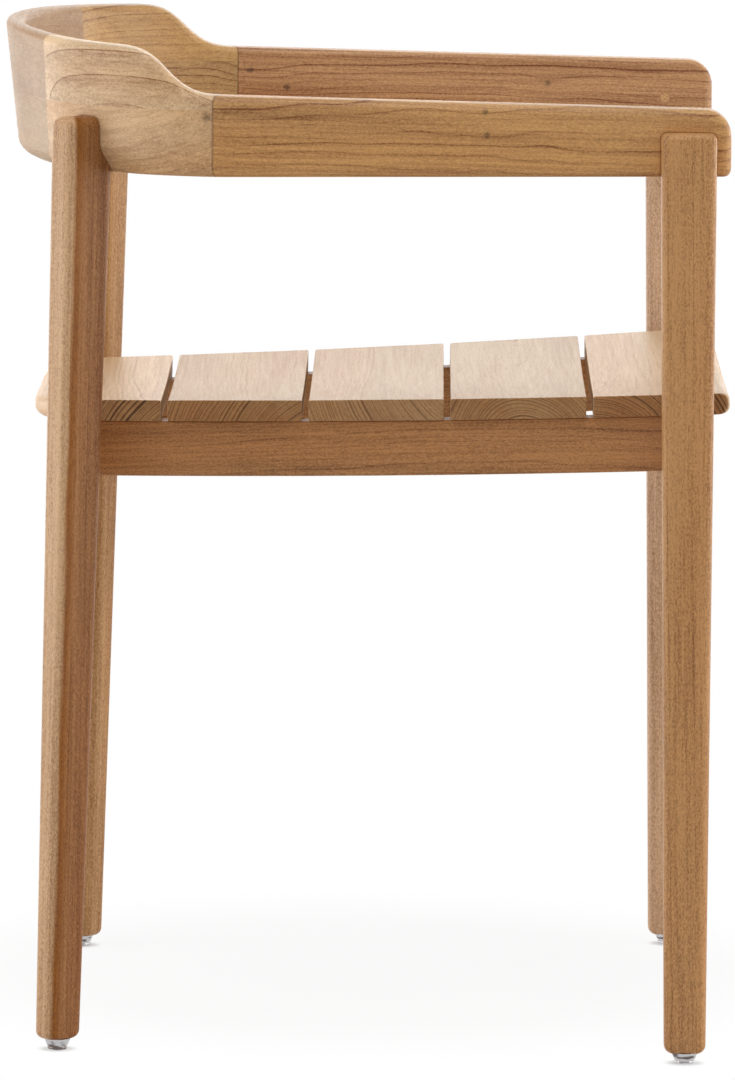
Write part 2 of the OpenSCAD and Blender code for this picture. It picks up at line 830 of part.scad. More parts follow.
module side_rail_right() {
    color(frame_wood)
        difference() {
            union() {
                loft([for (i = [0:side_rail_steps])
                    side_rail_ring(blend(side_front_y, side_rear_y, i / side_rail_steps))]);
                side_rail_tenons();
            }
            for (k = [1:slat_count])
                slat_dowel_group(k, pin_clearance);
        }
}

module side_rail_left() {
    mirrored()
        side_rail_right();
}

// Front cross rail, tenoned into the front legs
front_leg_inner_x = front_leg_x - blend(leg_top_thickness, leg_foot_thickness,
    (front_leg_top_z - front_cross_z - cross_rail_height / 2) / (front_leg_top_z - glide_height)) / 2;
front_rail_half = front_leg_inner_x - joint_clearance * 2;
cross_tenon_height = cross_rail_height - 2 * tenon_shoulder;

module front_cross_tenon(gap = 0) {
    translate([-front_rail_half - tenon_length / 2, front_cross_y, front_cross_z + cross_rail_height / 2])
        cube([tenon_length + 2 * gap, tenon_thickness + 2 * gap, cross_tenon_height + 2 * gap],
            center = true);
}

module front_cross_rail() {
    color(frame_wood)
        difference() {
            union() {
                translate([-front_rail_half, front_cross_y - cross_rail_thickness / 2, front_cross_z])
                    cube([2 * front_rail_half, cross_rail_thickness, cross_rail_height]);
                both_sides()
                    front_cross_tenon();
            }
            both_sides()
                side_rail_tenons(joint_clearance);
        }
}

// Rear cross rail: its ends are cut to the rear legs' turned inner faces
rear_cross_mid_z = rear_cross_z + cross_rail_height / 2;
rear_face_x = rear_axis(rear_cross_mid_z)[0]
    - rear_thickness(rear_cross_mid_z) / 2 * cos(rear_leg_turn);

module rear_cross_tenon(gap = 0) {
    translate([-rear_face_x - tenon_length / 2 + tenon_thickness / 2 * tan(rear_leg_turn),
            rear_cross_y, rear_cross_mid_z])
        cube([tenon_length + tenon_thickness * tan(rear_leg_turn) + 2 * gap,
            tenon_thickness + 2 * gap, cross_tenon_height + 2 * gap], center = true);
}

// Block on the leg's side of the plane of its wide inner face
module rear_leg_face_block() {
    reach = 2 * cross_rail_thickness / cos(rear_leg_turn);
    slab = 4 * leg_top_thickness;
    loft([for (z = [rear_cross_z - cross_rail_height, rear_cross_z + 2 * cross_rail_height])
        let (
            c = rear_axis(z),
            q = rear_thickness(z) / 2 + joint_clearance,
            d = [cos(rear_leg_turn), sin(rear_leg_turn)],
            w = [-sin(rear_leg_turn), cos(rear_leg_turn)],
            o = [-c[0], c[1]] + d * q
        )
        [for (p = [o - w * reach, o - w * reach - d * slab, o + w * reach - d * slab, o + w * reach])
            [p[0], p[1], z]]]);
}

module rear_cross_rail() {
    color(frame_wood)
        difference() {
            union() {
                difference() {
                    translate([-rear_face_x - cross_rail_thickness,
                            rear_cross_y - cross_rail_thickness / 2, rear_cross_z])
                        cube([2 * (rear_face_x + cross_rail_thickness), cross_rail_thickness,
                            cross_rail_height]);
                    both_sides()
                        rear_leg_face_block();
                }
                both_sides()
                    rear_cross_tenon();
            }
            both_sides()
                side_rail_tenons(joint_clearance);
        }
}

// Glides: steel caps under the feet, each closed over the head of its nail
glide_edge = 1;
nail_head_d = 6.6;
nail_head_height = 1.5;
nail_recess = 2;

module at_feet() {
    for (p = [front_foot, rear_leg_foot])
        both_sides()
            translate([-p[0], p[1], 0])
                children();
}

module nail_shank(foot, gap = 0) {
    translate([-foot[0], foot[1], nail_recess + nail_head_height - gap])
        cylinder(d = nail_d + 2 * gap, h = glide_height - nail_recess - nail_head_height
            + nail_grip + 2 * gap, $fn = 24);
}

module glides() {
    color(steel)
        at_feet()
            rotate_extrude($fn = 48)
                polygon([
                    [0, 0],
                    [glide_foot_d / 2 - glide_edge, 0],
                    [glide_foot_d / 2, glide_edge],
                    [glide_top_d / 2, glide_height - glide_edge],
                    [glide_top_d / 2, glide_height],
                    [nail_d / 2 + pin_clearance, glide_height],
                    [nail_d / 2 + pin_clearance, nail_recess + nail_head_height],
                    [nail_head_d / 2 + pin_clearance, nail_recess + nail_head_height],
                    [nail_head_d / 2 + pin_clearance, nail_recess],
                    [0, nail_recess]
                ]);
}

module glide_nails() {
    color(steel) {
        for (p = [front_foot, rear_leg_foot])
            both_sides()
                nail_shank(p);
        at_feet()
            translate([0, 0, nail_recess])
                cylinder(d = nail_head_d, h = nail_head_height, $fn = 24);
    }
}

front_leg_right();
front_leg_left();
rear_leg_right();
rear_leg_left();
arm_right();
arm_left();
corner_lower_right();
corner_lower_left();
corner_upper_right();
corner_upper_left();
back_lower();
back_upper();
seat_slat_1();
seat_slat_2();
seat_slat_3();
seat_slat_4();
seat_slat_5();
side_rail_right();
side_rail_left();
front_cross_rail();
rear_cross_rail();
rail_dowels();
slat_dowels();
frame_screws();
screw_plugs();
glides();
glide_nails();
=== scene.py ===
from math import atan2, cos, radians, sin, sqrt, tan, tau

import bmesh
import bpy
from mathutils import Matrix, Vector


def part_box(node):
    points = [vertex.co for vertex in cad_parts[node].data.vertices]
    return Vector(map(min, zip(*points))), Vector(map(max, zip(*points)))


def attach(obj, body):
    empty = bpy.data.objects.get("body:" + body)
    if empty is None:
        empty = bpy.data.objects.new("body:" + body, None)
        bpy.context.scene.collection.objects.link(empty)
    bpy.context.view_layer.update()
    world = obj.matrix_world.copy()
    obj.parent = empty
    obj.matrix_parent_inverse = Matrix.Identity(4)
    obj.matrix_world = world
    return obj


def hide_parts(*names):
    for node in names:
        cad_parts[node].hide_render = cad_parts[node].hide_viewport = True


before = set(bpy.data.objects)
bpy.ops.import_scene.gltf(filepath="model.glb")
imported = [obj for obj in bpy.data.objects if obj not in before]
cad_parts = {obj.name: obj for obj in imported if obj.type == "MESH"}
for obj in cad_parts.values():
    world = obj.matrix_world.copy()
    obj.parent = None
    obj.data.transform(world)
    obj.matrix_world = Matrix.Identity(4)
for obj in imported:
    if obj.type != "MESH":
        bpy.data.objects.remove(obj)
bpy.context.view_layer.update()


# Legs.
# Four solid teak legs, sawn from straight-grained boards, tapered to the foot and rounded on their
# long edges. The front ones are notched over the arms, the rear ones scribed to the corner blocks.

def tint(code):
    """Linear colour of a #rrggbb code."""
    channels = [int(code[i:i + 2], 16) / 255 for i in (1, 3, 5)]
    return [c / 12.92 if c <= 0.04045 else ((c + 0.055) / 1.055) ** 2.4 for c in channels] + [1]


class Signal:
    """A node socket that plain arithmetic turns into Math nodes."""

    def __init__(self, tree, socket):
        self.tree = tree
        self.socket = socket

    def math(self, operation, *others, clamp=False):
        """The signal through a Math node, with others as the node's further inputs."""
        node = self.tree.nodes.new("ShaderNodeMath")
        node.operation = operation
        node.use_clamp = clamp
        self.tree.links.new(self.socket, node.inputs[0])
        for place, other in enumerate(others, start=1):
            if isinstance(other, Signal):
                self.tree.links.new(other.socket, node.inputs[place])
            else:
                node.inputs[place].default_value = other
        return Signal(self.tree, node.outputs[0])

    def __add__(self, other):
        return self.math("ADD", other)

    def __sub__(self, other):
        return self.math("SUBTRACT", other)

    def __mul__(self, other):
        return self.math("MULTIPLY", other)

    def __truediv__(self, other):
        return self.math("DIVIDE", other)

    def flipped(self):
        """1 minus the signal."""
        return self.math("MULTIPLY", -1).math("ADD", 1)

    def ramp(self, low, high):
        """0 below low, 1 above high, and smooth between them."""
        node = self.tree.nodes.new("ShaderNodeMapRange")
        node.interpolation_type = "SMOOTHSTEP"
        self.tree.links.new(self.socket, node.inputs["Value"])
        node.inputs["From Min"].default_value = low
        node.inputs["From Max"].default_value = high
        return Signal(self.tree, node.outputs["Result"])


def vector_math(tree, operation, first, second=None):
    """Vector Math node on a socket and a socket or constant. A number comes out as a signal."""
    node = tree.nodes.new("ShaderNodeVectorMath")
    node.operation = operation
    tree.links.new(first, node.inputs[0])
    if isinstance(second, bpy.types.NodeSocket):
        tree.links.new(second, node.inputs["Scale" if operation == "SCALE" else 1])
    elif second is not None:
        node.inputs[1].default_value = second
    if operation in ("LENGTH", "DISTANCE", "DOT_PRODUCT"):
        return Signal(tree, node.outputs["Value"])
    return node.outputs[0]


def parts_of(tree, vector):
    """The X, Y and Z of a vector, as signals."""
    node = tree.nodes.new("ShaderNodeSeparateXYZ")
    tree.links.new(vector, node.inputs[0])
    return [Signal(tree, node.outputs[axis]) for axis in "XYZ"]


def blended(tree, amount, first, second):
    """Mix node: the colour first where the signal amount is 0, and second where it is 1."""
    node = tree.nodes.new("ShaderNodeMix")
    node.data_type = "RGBA"
    tree.links.new(amount.socket, node.inputs["Factor"])
    for place, colour in ((6, first), (7, second)):
        if isinstance(colour, bpy.types.NodeSocket):
            tree.links.new(colour, node.inputs[place])
        else:
            node.inputs[place].default_value = colour
    return node.outputs[2]


def stretched_noise(tree, place, stretch, detail, roughness=0.5):
    """Noise node with about stretch waves a metre along each axis."""
    noise = tree.nodes.new("ShaderNodeTexNoise")
    noise.inputs["Scale"].default_value = 1
    noise.inputs["Detail"].default_value = detail
    noise.inputs["Roughness"].default_value = roughness
    tree.links.new(vector_math(tree, "MULTIPLY", place, stretch), noise.inputs["Vector"])
    return noise


def new_tree(name, tree_kind, inputs, outputs):
    """Node tree with inputs and outputs of the given names and kinds, and its sockets for both."""
    tree = bpy.data.node_groups.new(name, tree_kind)
    for way, sockets in (("INPUT", inputs), ("OUTPUT", outputs)):
        for socket, kind in sockets.items():
            tree.interface.new_socket(socket, in_out=way, socket_type="NodeSocket" + kind)
    given = tree.nodes.new("NodeGroupInput").outputs
    result = tree.nodes.new("NodeGroupOutput").inputs
    return tree, given, result


def add_relief(tree, height, distance, strength):
    """Bump by a height socket on the material's surface."""
    relief = tree.nodes.new("ShaderNodeBump")
    relief.inputs["Distance"].default_value = distance
    relief.inputs["Strength"].default_value = strength
    tree.links.new(height, relief.inputs["Height"])
    tree.links.new(relief.outputs["Normal"], tree.nodes["Principled BSDF"].inputs["Normal"])


# Waves a metre of what runs through the wood: along the grain, and twice across it
TRUNK_BENDS = (2.2, 9, 9)
GRAIN_WAVES = (16, 24, 24)
FIBRES = (9, 420, 420)
BANDS = (1.6, 26, 26)
WARM_BANDS = (1.3, 17, 17)
STRIPS = (3.5, 110, 110)
FLECKS = (150, 1100, 1100)
SPECKS = (520, 880, 880)

# Rings: lean and fat years shift them, and a dark line of late wood ends each, some strong
DRIFTS_A_YEAR = 0.21
RING_DRIFT = 0.0075
LATE_WOOD_SHARE = 0.24
WIDEST_LATE_WOOD = 0.0014
LATE_RISE = (0.35, 0.97)
LATE_RISE_TONE = 0.35
LATE_LINE = (0.45, 1)
LATE_LINE_END = 0.35
FEW_STRONG_RINGS = 1.6
FAINTEST_RING = 0.2
RING_TONE = 0.9
RING_FRAYING = 1.2
BROAD_RISE = (0.3, 0.8)
BROAD_FALL = (0.88, 1)
BROAD_LEAST = 0.25
BROAD_STRENGTH = 0.8

# Heartwood: metres past its border over which it turns dark, and over which its middle pales
HEART_BORDER = (-0.0022, 0.0018)
HEART_MIDDLE = (-0.011, -0.002)
HEART_PALING = 0.24
BORDER_FRAYING = 0.006
BORDER_STRIPS = 0.004

# How much of the dark colour each mark brings
MIDDLE_TONE = 0.3
FIBRE_TONE = 1.5
STRIP_TONE = 0.9
BAND_TONE = 1.5
SPECK_TONE = 1.4
HEART_TONE = 0.15

# Stains that the colour is multiplied by, and shares by which the marks dim it
UNSTAINED = (1, 1, 1, 1)
END_STAIN = (0.78, 0.58, 0.38, 1)
HEART_STAIN = (0.46, 0.23, 0.0, 1)
WARM_STAIN = (0.98, 0.90, 0.80, 1)
WARM_EDGE = (0.42, 0.62)
PORE_EDGE = (0.54, 0.7)
PORE_SHADE = 0.11
KNOT_SHADE = 0.55
# JOINT_SHADE: how much the line of painted shade and dirt along each joint dims the wood
JOINT_SHADE = 0.34
BROAD_SHADE = 0.62
SAWN_SHADE = 0.25
MOST_SAWN = 0.9
DEEPEST_SHADE = 0.9

# Roughness of the sanded wood, what the marks add to it, and how far they rise or sink
SANDED_ROUGHNESS = 0.43
PORE_ROUGHNESS = 0.12
FIBRE_ROUGHNESS = 0.15
END_ROUGHNESS = 0.15
PORE_DEPTH = 0.8
FIBRE_RISE = 0.5
RING_DEPTH = 0.25


def make_teak():
    """Node group: a teak log with its grain along X and its pith on the X axis, in metres."""
    values = ("End Grain", "End Shade", "Joint Shade", "Knot", "Swirl", "Ring Width", "Phase", "Rings",
              "Figure", "Waves", "Streaks", "Pores", "Heart", "Heart Dark", "Seed")
    tree, given, result = new_tree(
        "Teak", "ShaderNodeTree",
        {"Log": "Vector", "Pale": "Color", "Dark": "Color"} | dict.fromkeys(values, "Float"),
        {"Color": "Color", "Roughness": "Float", "Height": "Float"})
    link = tree.links.new

    def signal(name):
        return Signal(tree, given[name])

    def vector(operation, first, second=None):
        return vector_math(tree, operation, first, second)

    # The trunk's bends push the rings sideways slowly, and waves in the grain push them often
    seeded = tree.nodes.new("ShaderNodeCombineXYZ")
    link(given["Seed"], seeded.inputs["X"])
    moved = vector("ADD", given["Log"], seeded.outputs[0])
    bent = given["Log"]
    for name, stretch in (("Figure", TRUNK_BENDS), ("Waves", GRAIN_WAVES)):
        bend = stretched_noise(tree, moved, stretch, 1).outputs["Color"]
        bend = vector("SUBTRACT", bend, (0.5, 0.5, 0.5))
        bent = vector("ADD", bent, vector("SCALE", bend, given[name]))
    radius = vector("LENGTH", vector("MULTIPLY", bent, (0, 1, 1))) + signal("Swirl")

    # Years: each ring has its own width and strength, and a thin dark line of late wood at its end
    years = radius / signal("Ring Width") + signal("Phase")
    lean_years = tree.nodes.new("ShaderNodeTexNoise")
    lean_years.noise_dimensions = "1D"
    lean_years.inputs["Scale"].default_value = DRIFTS_A_YEAR
    lean_years.inputs["Detail"].default_value = 1
    link((years + signal("Seed")).socket, lean_years.inputs["W"])
    lean = (Signal(tree, lean_years.outputs["Fac"]) - 0.5) * RING_DRIFT
    years = years + lean / signal("Ring Width")
    year = years.math("FLOOR")
    season = years.math("FRACT")
    luck = tree.nodes.new("ShaderNodeTexWhiteNoise")
    luck.noise_dimensions = "1D"
    link((year + signal("Seed")).socket, luck.inputs["W"])
    strength = Signal(tree, luck.outputs["Value"]).math("POWER", FEW_STRONG_RINGS)
    strength = strength * (1 - FAINTEST_RING) + FAINTEST_RING
    line = (signal("Ring Width") * LATE_WOOD_SHARE).math("MINIMUM", WIDEST_LATE_WOOD)
    left = season.flipped() * signal("Ring Width") / line
    late_line = left.ramp(*LATE_LINE).flipped() * (1 - LATE_RISE_TONE)
    late = season.ramp(*LATE_RISE) * LATE_RISE_TONE + late_line
    late = late * left.ramp(0, LATE_LINE_END)

    def along_grain(stretch, detail, roughness=0.5):
        noise = stretched_noise(tree, moved, stretch, detail, roughness)
        return Signal(tree, noise.outputs["Fac"])

    # Fibres, pores and slow changes of colour run along the grain
    fibre = along_grain(FIBRES, 4, 0.65) - 0.5
    band = along_grain(BANDS, 2) - 0.5
    warm = along_grain(WARM_BANDS, 1)
    strip = along_grain(STRIPS, 2) - 0.5
    pore = along_grain(FLECKS, 1, 0.6).ramp(*PORE_EDGE) * signal("Pores")
    speck = along_grain(SPECKS, 1, 0.6) - 0.5
    end = signal("End Grain") * signal("End Shade")
    sawn = end.math("MINIMUM", MOST_SAWN)
    ring = late * strength * (fibre * RING_FRAYING + RING_TONE) * signal("Rings")
    core = radius - signal("Heart") + fibre * BORDER_FRAYING + strip * BORDER_STRIPS
    inner = core.ramp(*HEART_MIDDLE) * HEART_PALING + (1 - HEART_PALING)
    heart = core.ramp(*HEART_BORDER).flipped() * inner * signal("Heart Dark")
    broad = season.ramp(*BROAD_RISE) * season.ramp(*BROAD_FALL).flipped()
    broad = broad * (strength * BROAD_STRENGTH + BROAD_LEAST)

    streaks = (fibre * FIBRE_TONE + strip * STRIP_TONE + band * BAND_TONE) * signal("Streaks")
    depth = streaks + ring * (sawn + 1) + heart * HEART_TONE
    depth = depth + MIDDLE_TONE + speck * signal("Pores") * SPECK_TONE
    body = blended(tree, depth.math("ADD", 0, clamp=True), given["Pale"], given["Dark"])
    for amount, stain in ((end, END_STAIN), (heart, HEART_STAIN),
                          (warm.ramp(*WARM_EDGE), WARM_STAIN)):
        body = vector("MULTIPLY", body, blended(tree, amount, UNSTAINED, stain))
    # Along each joint the wood is dimmed by a line of painted shade and dirt
    dimmed = pore * PORE_SHADE + signal("Knot") * KNOT_SHADE + signal("Joint Shade") * JOINT_SHADE
    dimmed = dimmed + broad * sawn * BROAD_SHADE + (end - sawn) * SAWN_SHADE
    lit = dimmed.math("MINIMUM", DEEPEST_SHADE).flipped()
    link(vector("SCALE", body, lit.socket), result["Color"])
    rough = pore * PORE_ROUGHNESS + fibre * FIBRE_ROUGHNESS + end * END_ROUGHNESS + SANDED_ROUGHNESS
    relief = fibre * FIBRE_RISE - ring * RING_DEPTH - pore * PORE_DEPTH - signal("Joint Shade")
    link(rough.socket, result["Roughness"])
    link(relief.socket, result["Height"])
    return tree


KNOT_BARK = (260, 420, 420)
KNOT_RAGGED = 1.6
KNOT_EDGE = (0.25, 1)
SWIRL_STRETCH = (0.22, 1, 1)
SWIRL_REACH = 3.4
SWIRL_PUSH = 1.3


def make_knot():
    """Node group: a ragged pin knot at Centre that pushes the rings aside, in the log's frame.

    Size is the knot's radius. The rings bend round it further along the grain than across it.
    """
    tree, given, result = new_tree("Pin knot", "ShaderNodeTree",
                                   {"Log": "Vector", "Centre": "Vector", "Size": "Float"},
                                   {"Knot": "Float", "Swirl": "Float"})
    away = vector_math(tree, "SUBTRACT", given["Log"], given["Centre"])
    size = Signal(tree, given["Size"])
    bark = stretched_noise(tree, given["Log"], KNOT_BARK, 3, 0.7)
    edge = vector_math(tree, "LENGTH", away) / size
    edge = edge + (Signal(tree, bark.outputs["Fac"]) - 0.5) * KNOT_RAGGED
    tree.links.new(edge.ramp(*KNOT_EDGE).flipped().socket, result["Knot"])
    drawn_out = vector_math(tree, "MULTIPLY", away, SWIRL_STRETCH)
    swirl = (vector_math(tree, "LENGTH", drawn_out) / size).ramp(0, SWIRL_REACH).flipped()
    tree.links.new((swirl * size * SWIRL_PUSH).socket, result["Swirl"])
    return tree


# Width of the line of painted shade and dirt along a joint
JOINT_SHADE_LINE = (0.0002, 0.0011)


def make_joint_shade_line():
    """Node group: a thin line round a box of Half Size, with rounded corners, about Place's origin:
    painted shade and dirt along a joint.
    """
    tree, given, result = new_tree(
        "Painted shade at joints", "ShaderNodeTree",
        {"Place": "Vector", "Half Size": "Vector", "Rounding": "Float"}, {"Joint Shade": "Float"})
    mirrored = vector_math(tree, "ABSOLUTE", given["Place"])
    past = vector_math(tree, "SUBTRACT", mirrored, given["Half Size"])
    past = vector_math(tree, "ADD", past, given["Rounding"])
    x, y, z = parts_of(tree, past)
    inside = x.math("MAXIMUM", y).math("MAXIMUM", z).math("MINIMUM", 0)
    outside = vector_math(tree, "LENGTH", vector_math(tree, "MAXIMUM", past, (0, 0, 0)))
    beyond = inside + outside
    gap = (beyond - Signal(tree, given["Rounding"])).math("ABSOLUTE")
    tree.links.new(gap.ramp(*JOINT_SHADE_LINE).flipped().socket, result["Joint Shade"])
    return tree


teak_grain = make_teak()
pin_knot = make_knot()
joint_shade_line = make_joint_shade_line()
END_GRAIN = (0.6, 0.9)
GRAIN_RELIEF = 0.0003
GRAIN_RELIEF_STRENGTH = 0.6


def teak(name, grain, pith, pale, dark, ring=0.0035, rings=0.5, phase=0.0, figure=0.02, waves=0.0,
         streaks=1.0, pores=1.0, heart=0.0, heart_dark=0.0, end_shade=0.25, shine=0.35, seed=0,
         knots=(), joints=()):
    """Teak cut from a log whose pith passes the point pith along the direction grain.

    ring is the rings' width and heart the heartwood's radius. A knot is (place, radius). A joint
    is (centre, half size, turn about Z, rounding) of the box that meets the wood, and a line of
    painted shade and dirt darkens the wood round the box's outline.
    """
    material = bpy.data.materials.new(name)
    material.use_nodes = True
    tree = material.node_tree
    link = tree.links.new
    surface = tree.nodes["Principled BSDF"]
    surface.inputs["Specular IOR Level"].default_value = shine
    place = tree.nodes.new("ShaderNodeTexCoord")
    along = Vector(grain).normalized()
    turn = along.to_track_quat("X", "Y")
    log = tree.nodes.new("ShaderNodeMapping")
    log.vector_type = "TEXTURE"
    log.inputs["Location"].default_value = pith
    log.inputs["Rotation"].default_value = turn.to_euler()
    link(place.outputs["Object"], log.inputs["Vector"])
    facing = vector_math(tree, "DOT_PRODUCT", place.outputs["Normal"], along)
    end = facing.math("ABSOLUTE").ramp(*END_GRAIN)
    wood = tree.nodes.new("ShaderNodeGroup")
    wood.node_tree = teak_grain
    link(log.outputs["Vector"], wood.inputs["Log"])
    link(end.socket, wood.inputs["End Grain"])
    values = {"Pale": tint(pale), "Dark": tint(dark), "Ring Width": ring, "Phase": phase,
              "Rings": rings, "Figure": figure, "Waves": waves, "Streaks": streaks, "Pores": pores,
              "Heart": heart, "Heart Dark": heart_dark, "End Shade": end_shade, "Seed": seed}
    for socket, value in values.items():
        wood.inputs[socket].default_value = value

    marks = {"Knot": [], "Swirl": [], "Joint Shade": []}
    for spot, size in knots:
        knot = tree.nodes.new("ShaderNodeGroup")
        knot.node_tree = pin_knot
        link(log.outputs["Vector"], knot.inputs["Log"])
        knot.inputs["Centre"].default_value = turn.inverted() @ (Vector(spot) - Vector(pith))
        knot.inputs["Size"].default_value = size
        marks["Knot"].append(Signal(tree, knot.outputs["Knot"]))
        marks["Swirl"].append(Signal(tree, knot.outputs["Swirl"]))
    # Each joint's box gets a line of painted shade and dirt round its outline
    for centre, half_size, angle, rounding in joints:
        frame_of_joint = tree.nodes.new("ShaderNodeMapping")
        frame_of_joint.vector_type = "TEXTURE"
        frame_of_joint.inputs["Location"].default_value = centre
        frame_of_joint.inputs["Rotation"].default_value = (0, 0, angle)
        line = tree.nodes.new("ShaderNodeGroup")
        line.node_tree = joint_shade_line
        line.inputs["Half Size"].default_value = half_size
        line.inputs["Rounding"].default_value = rounding
        link(place.outputs["Object"], frame_of_joint.inputs["Vector"])
        link(frame_of_joint.outputs["Vector"], line.inputs["Place"])
        marks["Joint Shade"].append(Signal(tree, line.outputs["Joint Shade"]))
    for socket, found in marks.items():
        if found:
            total = found[0]
            for other in found[1:]:
                total = total + other
            link(total.socket, wood.inputs[socket])

    link(wood.outputs["Color"], surface.inputs["Base Color"])
    link(wood.outputs["Roughness"], surface.inputs["Roughness"])
    add_relief(tree, wood.outputs["Height"], GRAIN_RELIEF, GRAIN_RELIEF_STRENGTH)
    return material


EASED_EDGE = 0.0005
EASED_STEPS = 2
SHARP_TURN = radians(40)
FLAT_TURN = radians(0.2)
WELD = 1e-6


def placed(name, data):
    """New object of the data, in the scene."""
    thing = bpy.data.objects.new(name, data)
    bpy.context.collection.objects.link(thing)
    return thing


def smooth_mesh(name, shape):
    """Mesh of a bmesh, which it uses up, with smooth faces between the sharp edges."""
    mesh = bpy.data.meshes.new(name)
    shape.to_mesh(mesh)
    shape.free()
    mesh.shade_smooth()
    mesh.set_sharp_from_angle(angle=SHARP_TURN)
    return mesh


def finished(name, node, shape, material, eased=None, edge=EASED_EDGE):
    """Piece of the shape, a bmesh, with smooth faces and eased sharp edges, in place of the node.

    eased gives a sharp edge's share of the easing by its middle point. Left out, it is 1.
    """
    weights = shape.edges.layers.float.new("bevel_weight_edge")
    for line in shape.edges:
        middle = (line.verts[0].co + line.verts[1].co) / 2
        sharp = len(line.link_faces) == 2 and line.calc_face_angle() > SHARP_TURN
        line.smooth = not sharp
        line[weights] = (1 if eased is None else eased(middle)) if sharp else 0
    mesh = smooth_mesh(name, shape)
    mesh.materials.append(material)
    piece = placed(name, mesh)
    bevel = piece.modifiers.new("eased edges", "BEVEL")
    bevel.limit_method = "WEIGHT"
    bevel.width = edge
    bevel.segments = EASED_STEPS
    normals = piece.modifiers.new("flat faces stay flat", "WEIGHTED_NORMAL")
    normals.keep_sharp = True
    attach(piece, "root")
    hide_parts(node)


def cad_shape(node):
    """Copy of the node's mesh as a bmesh, with its facets welded."""
    shape = bmesh.new()
    shape.from_mesh(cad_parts[node].data)
    bmesh.ops.remove_doubles(shape, verts=shape.verts, dist=WELD)
    bmesh.ops.dissolve_limit(shape, angle_limit=FLAT_TURN, verts=shape.verts, edges=shape.edges)
    return shape


def cut_level(shape, height):
    """Edges all round the shape at a height."""
    bmesh.ops.bisect_plane(shape, geom=shape.verts[:] + shape.edges[:] + shape.faces[:], dist=WELD,
                           plane_co=(0, 0, height), plane_no=(0, 0, 1))


def sanded(node, material, eased=None):
    """The node's own shape, sanded."""
    finished("teak_" + node, node, cad_shape(node), material, eased)


def middle_of(node):
    """Middle of the node's box."""
    low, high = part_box(node)
    return (low + high) / 2


FOOT_CHAMFER = 0.0012
FOOT_ROUNDING = 0.0060
FOOT_SIDE_SHARE = 0.45
GLIDE_RECESS_REACH = 0.008
LEG_TOP_EDGE = 0.0028
LEG_TOP_EDGE_DEPTH = 0.0065
LEG_TOP_EDGE_REACH = 0.004
LEG_TOP_FACE_DEPTH = 0.001
ROUNDING_STEPS = 6


def rounding_height(step):
    """Height over the sole of a step of a foot's rounding, from 0 to ROUNDING_STEPS."""
    return FOOT_ROUNDING * (1 - cos(tau / 4 * step / ROUNDING_STEPS))


def sole_inset(height):
    """How far the round edge of a foot is drawn in at a height over the sole."""
    return FOOT_ROUNDING - sqrt(max(FOOT_ROUNDING ** 2 - (FOOT_ROUNDING - height) ** 2, 0))


def front_leg(node, material):
    """The node's shape, its foot's small chamfer worn round and its top's outer edges rounded."""
    shape = cad_shape(node)
    lowest = min(v.co.z for v in shape.verts)
    for step in range(1, ROUNDING_STEPS + 1):
        cut_level(shape, lowest + rounding_height(step))
    shape.normal_update()
    foot = foot_of(node)
    for vert in shape.verts:
        height = vert.co.z - lowest
        on_outside = (vert.co - foot).to_2d().length > GLIDE_RECESS_REACH
        if height < FOOT_ROUNDING and on_outside:
            outward = vert.normal.to_2d().normalized()
            chamfered = max(FOOT_CHAMFER - height, 0)
            vert.co.x -= outward.x * (sole_inset(height) * FOOT_SIDE_SHARE - chamfered)
            vert.co.y -= outward.y * (sole_inset(height) - chamfered)
    highest = max(v.co.z for v in shape.verts)
    outermost = max(abs(v.co.x) for v in shape.verts if v.co.z > highest - LEG_TOP_FACE_DEPTH)

    def worn(point):
        near_top = point.z > highest - LEG_TOP_EDGE_DEPTH
        near_outside = abs(point.x) > outermost - LEG_TOP_EDGE_REACH
        return 1 if near_top and near_outside else EASED_EDGE / LEG_TOP_EDGE

    finished("teak_" + node, node, shape, material, worn, LEG_TOP_EDGE)


def foot_of(leg):
    """Point on the floor under the middle of a leg's foot."""
    points = [v.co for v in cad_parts[leg].data.vertices]
    lowest = min(p.z for p in points)
    foot = [p for p in points if p.z < lowest + WELD]
    middle = [(min(p[axis] for p in foot) + max(p[axis] for p in foot)) / 2 for axis in (0, 1)]
    return Vector((*middle, 0))


FRONT_LEG_GRAIN = (0.01, 0.012, 1)
FRONT_LEG_PITH = Vector((0.03, 0.09, 0))
FRONT_LEG_KNOTS = (((-0.274, -0.2457, 0.0848), 0.003), ((-0.274, -0.2285, 0.0165), 0.0022))
front_leg_look = {"ring": 0.0026, "rings": 0.4, "figure": 0.01, "streaks": 0.9, "pores": 1.25,
                  "end_shade": 0.0}
for node, pale, dark, seed, knots in (
    ("front_leg_right", "#c6935d", "#815128", 3, FRONT_LEG_KNOTS),
    # The far leg is painted paler and pinker than the near one: painted sheen and side light
    ("front_leg_left", "#e3bfa0", "#a87f57", 5, ()),
):
    look = teak(node, FRONT_LEG_GRAIN, middle_of(node) + FRONT_LEG_PITH, pale, dark, seed=seed,
                knots=knots, **front_leg_look)
    front_leg(node, look)

REAR_LEG_TOP = Vector((0.212715, 0.201308))
REAR_LEG_FOOT = Vector((0.227886, 0.215895))
REAR_LEG_TOP_Z = 0.6768
REAR_LEG_FOOT_Z = 0.008
REAR_LEG_TURN = radians(38)
LEG_TOP_WIDTH = 0.040
LEG_FOOT_WIDTH = 0.030
LEG_TOP_THICKNESS = 0.026
LEG_FOOT_THICKNESS = 0.020
REAR_LEG_EDGE_RADIUS = 0.006
REAR_LEG_LEAST_FLAT = 0.0006
REAR_LEG_DOME_INSET = 0.0062
REAR_LEG_DOME_HEIGHT = 0.0072
REAR_LEG_CORNER_STEPS = 6


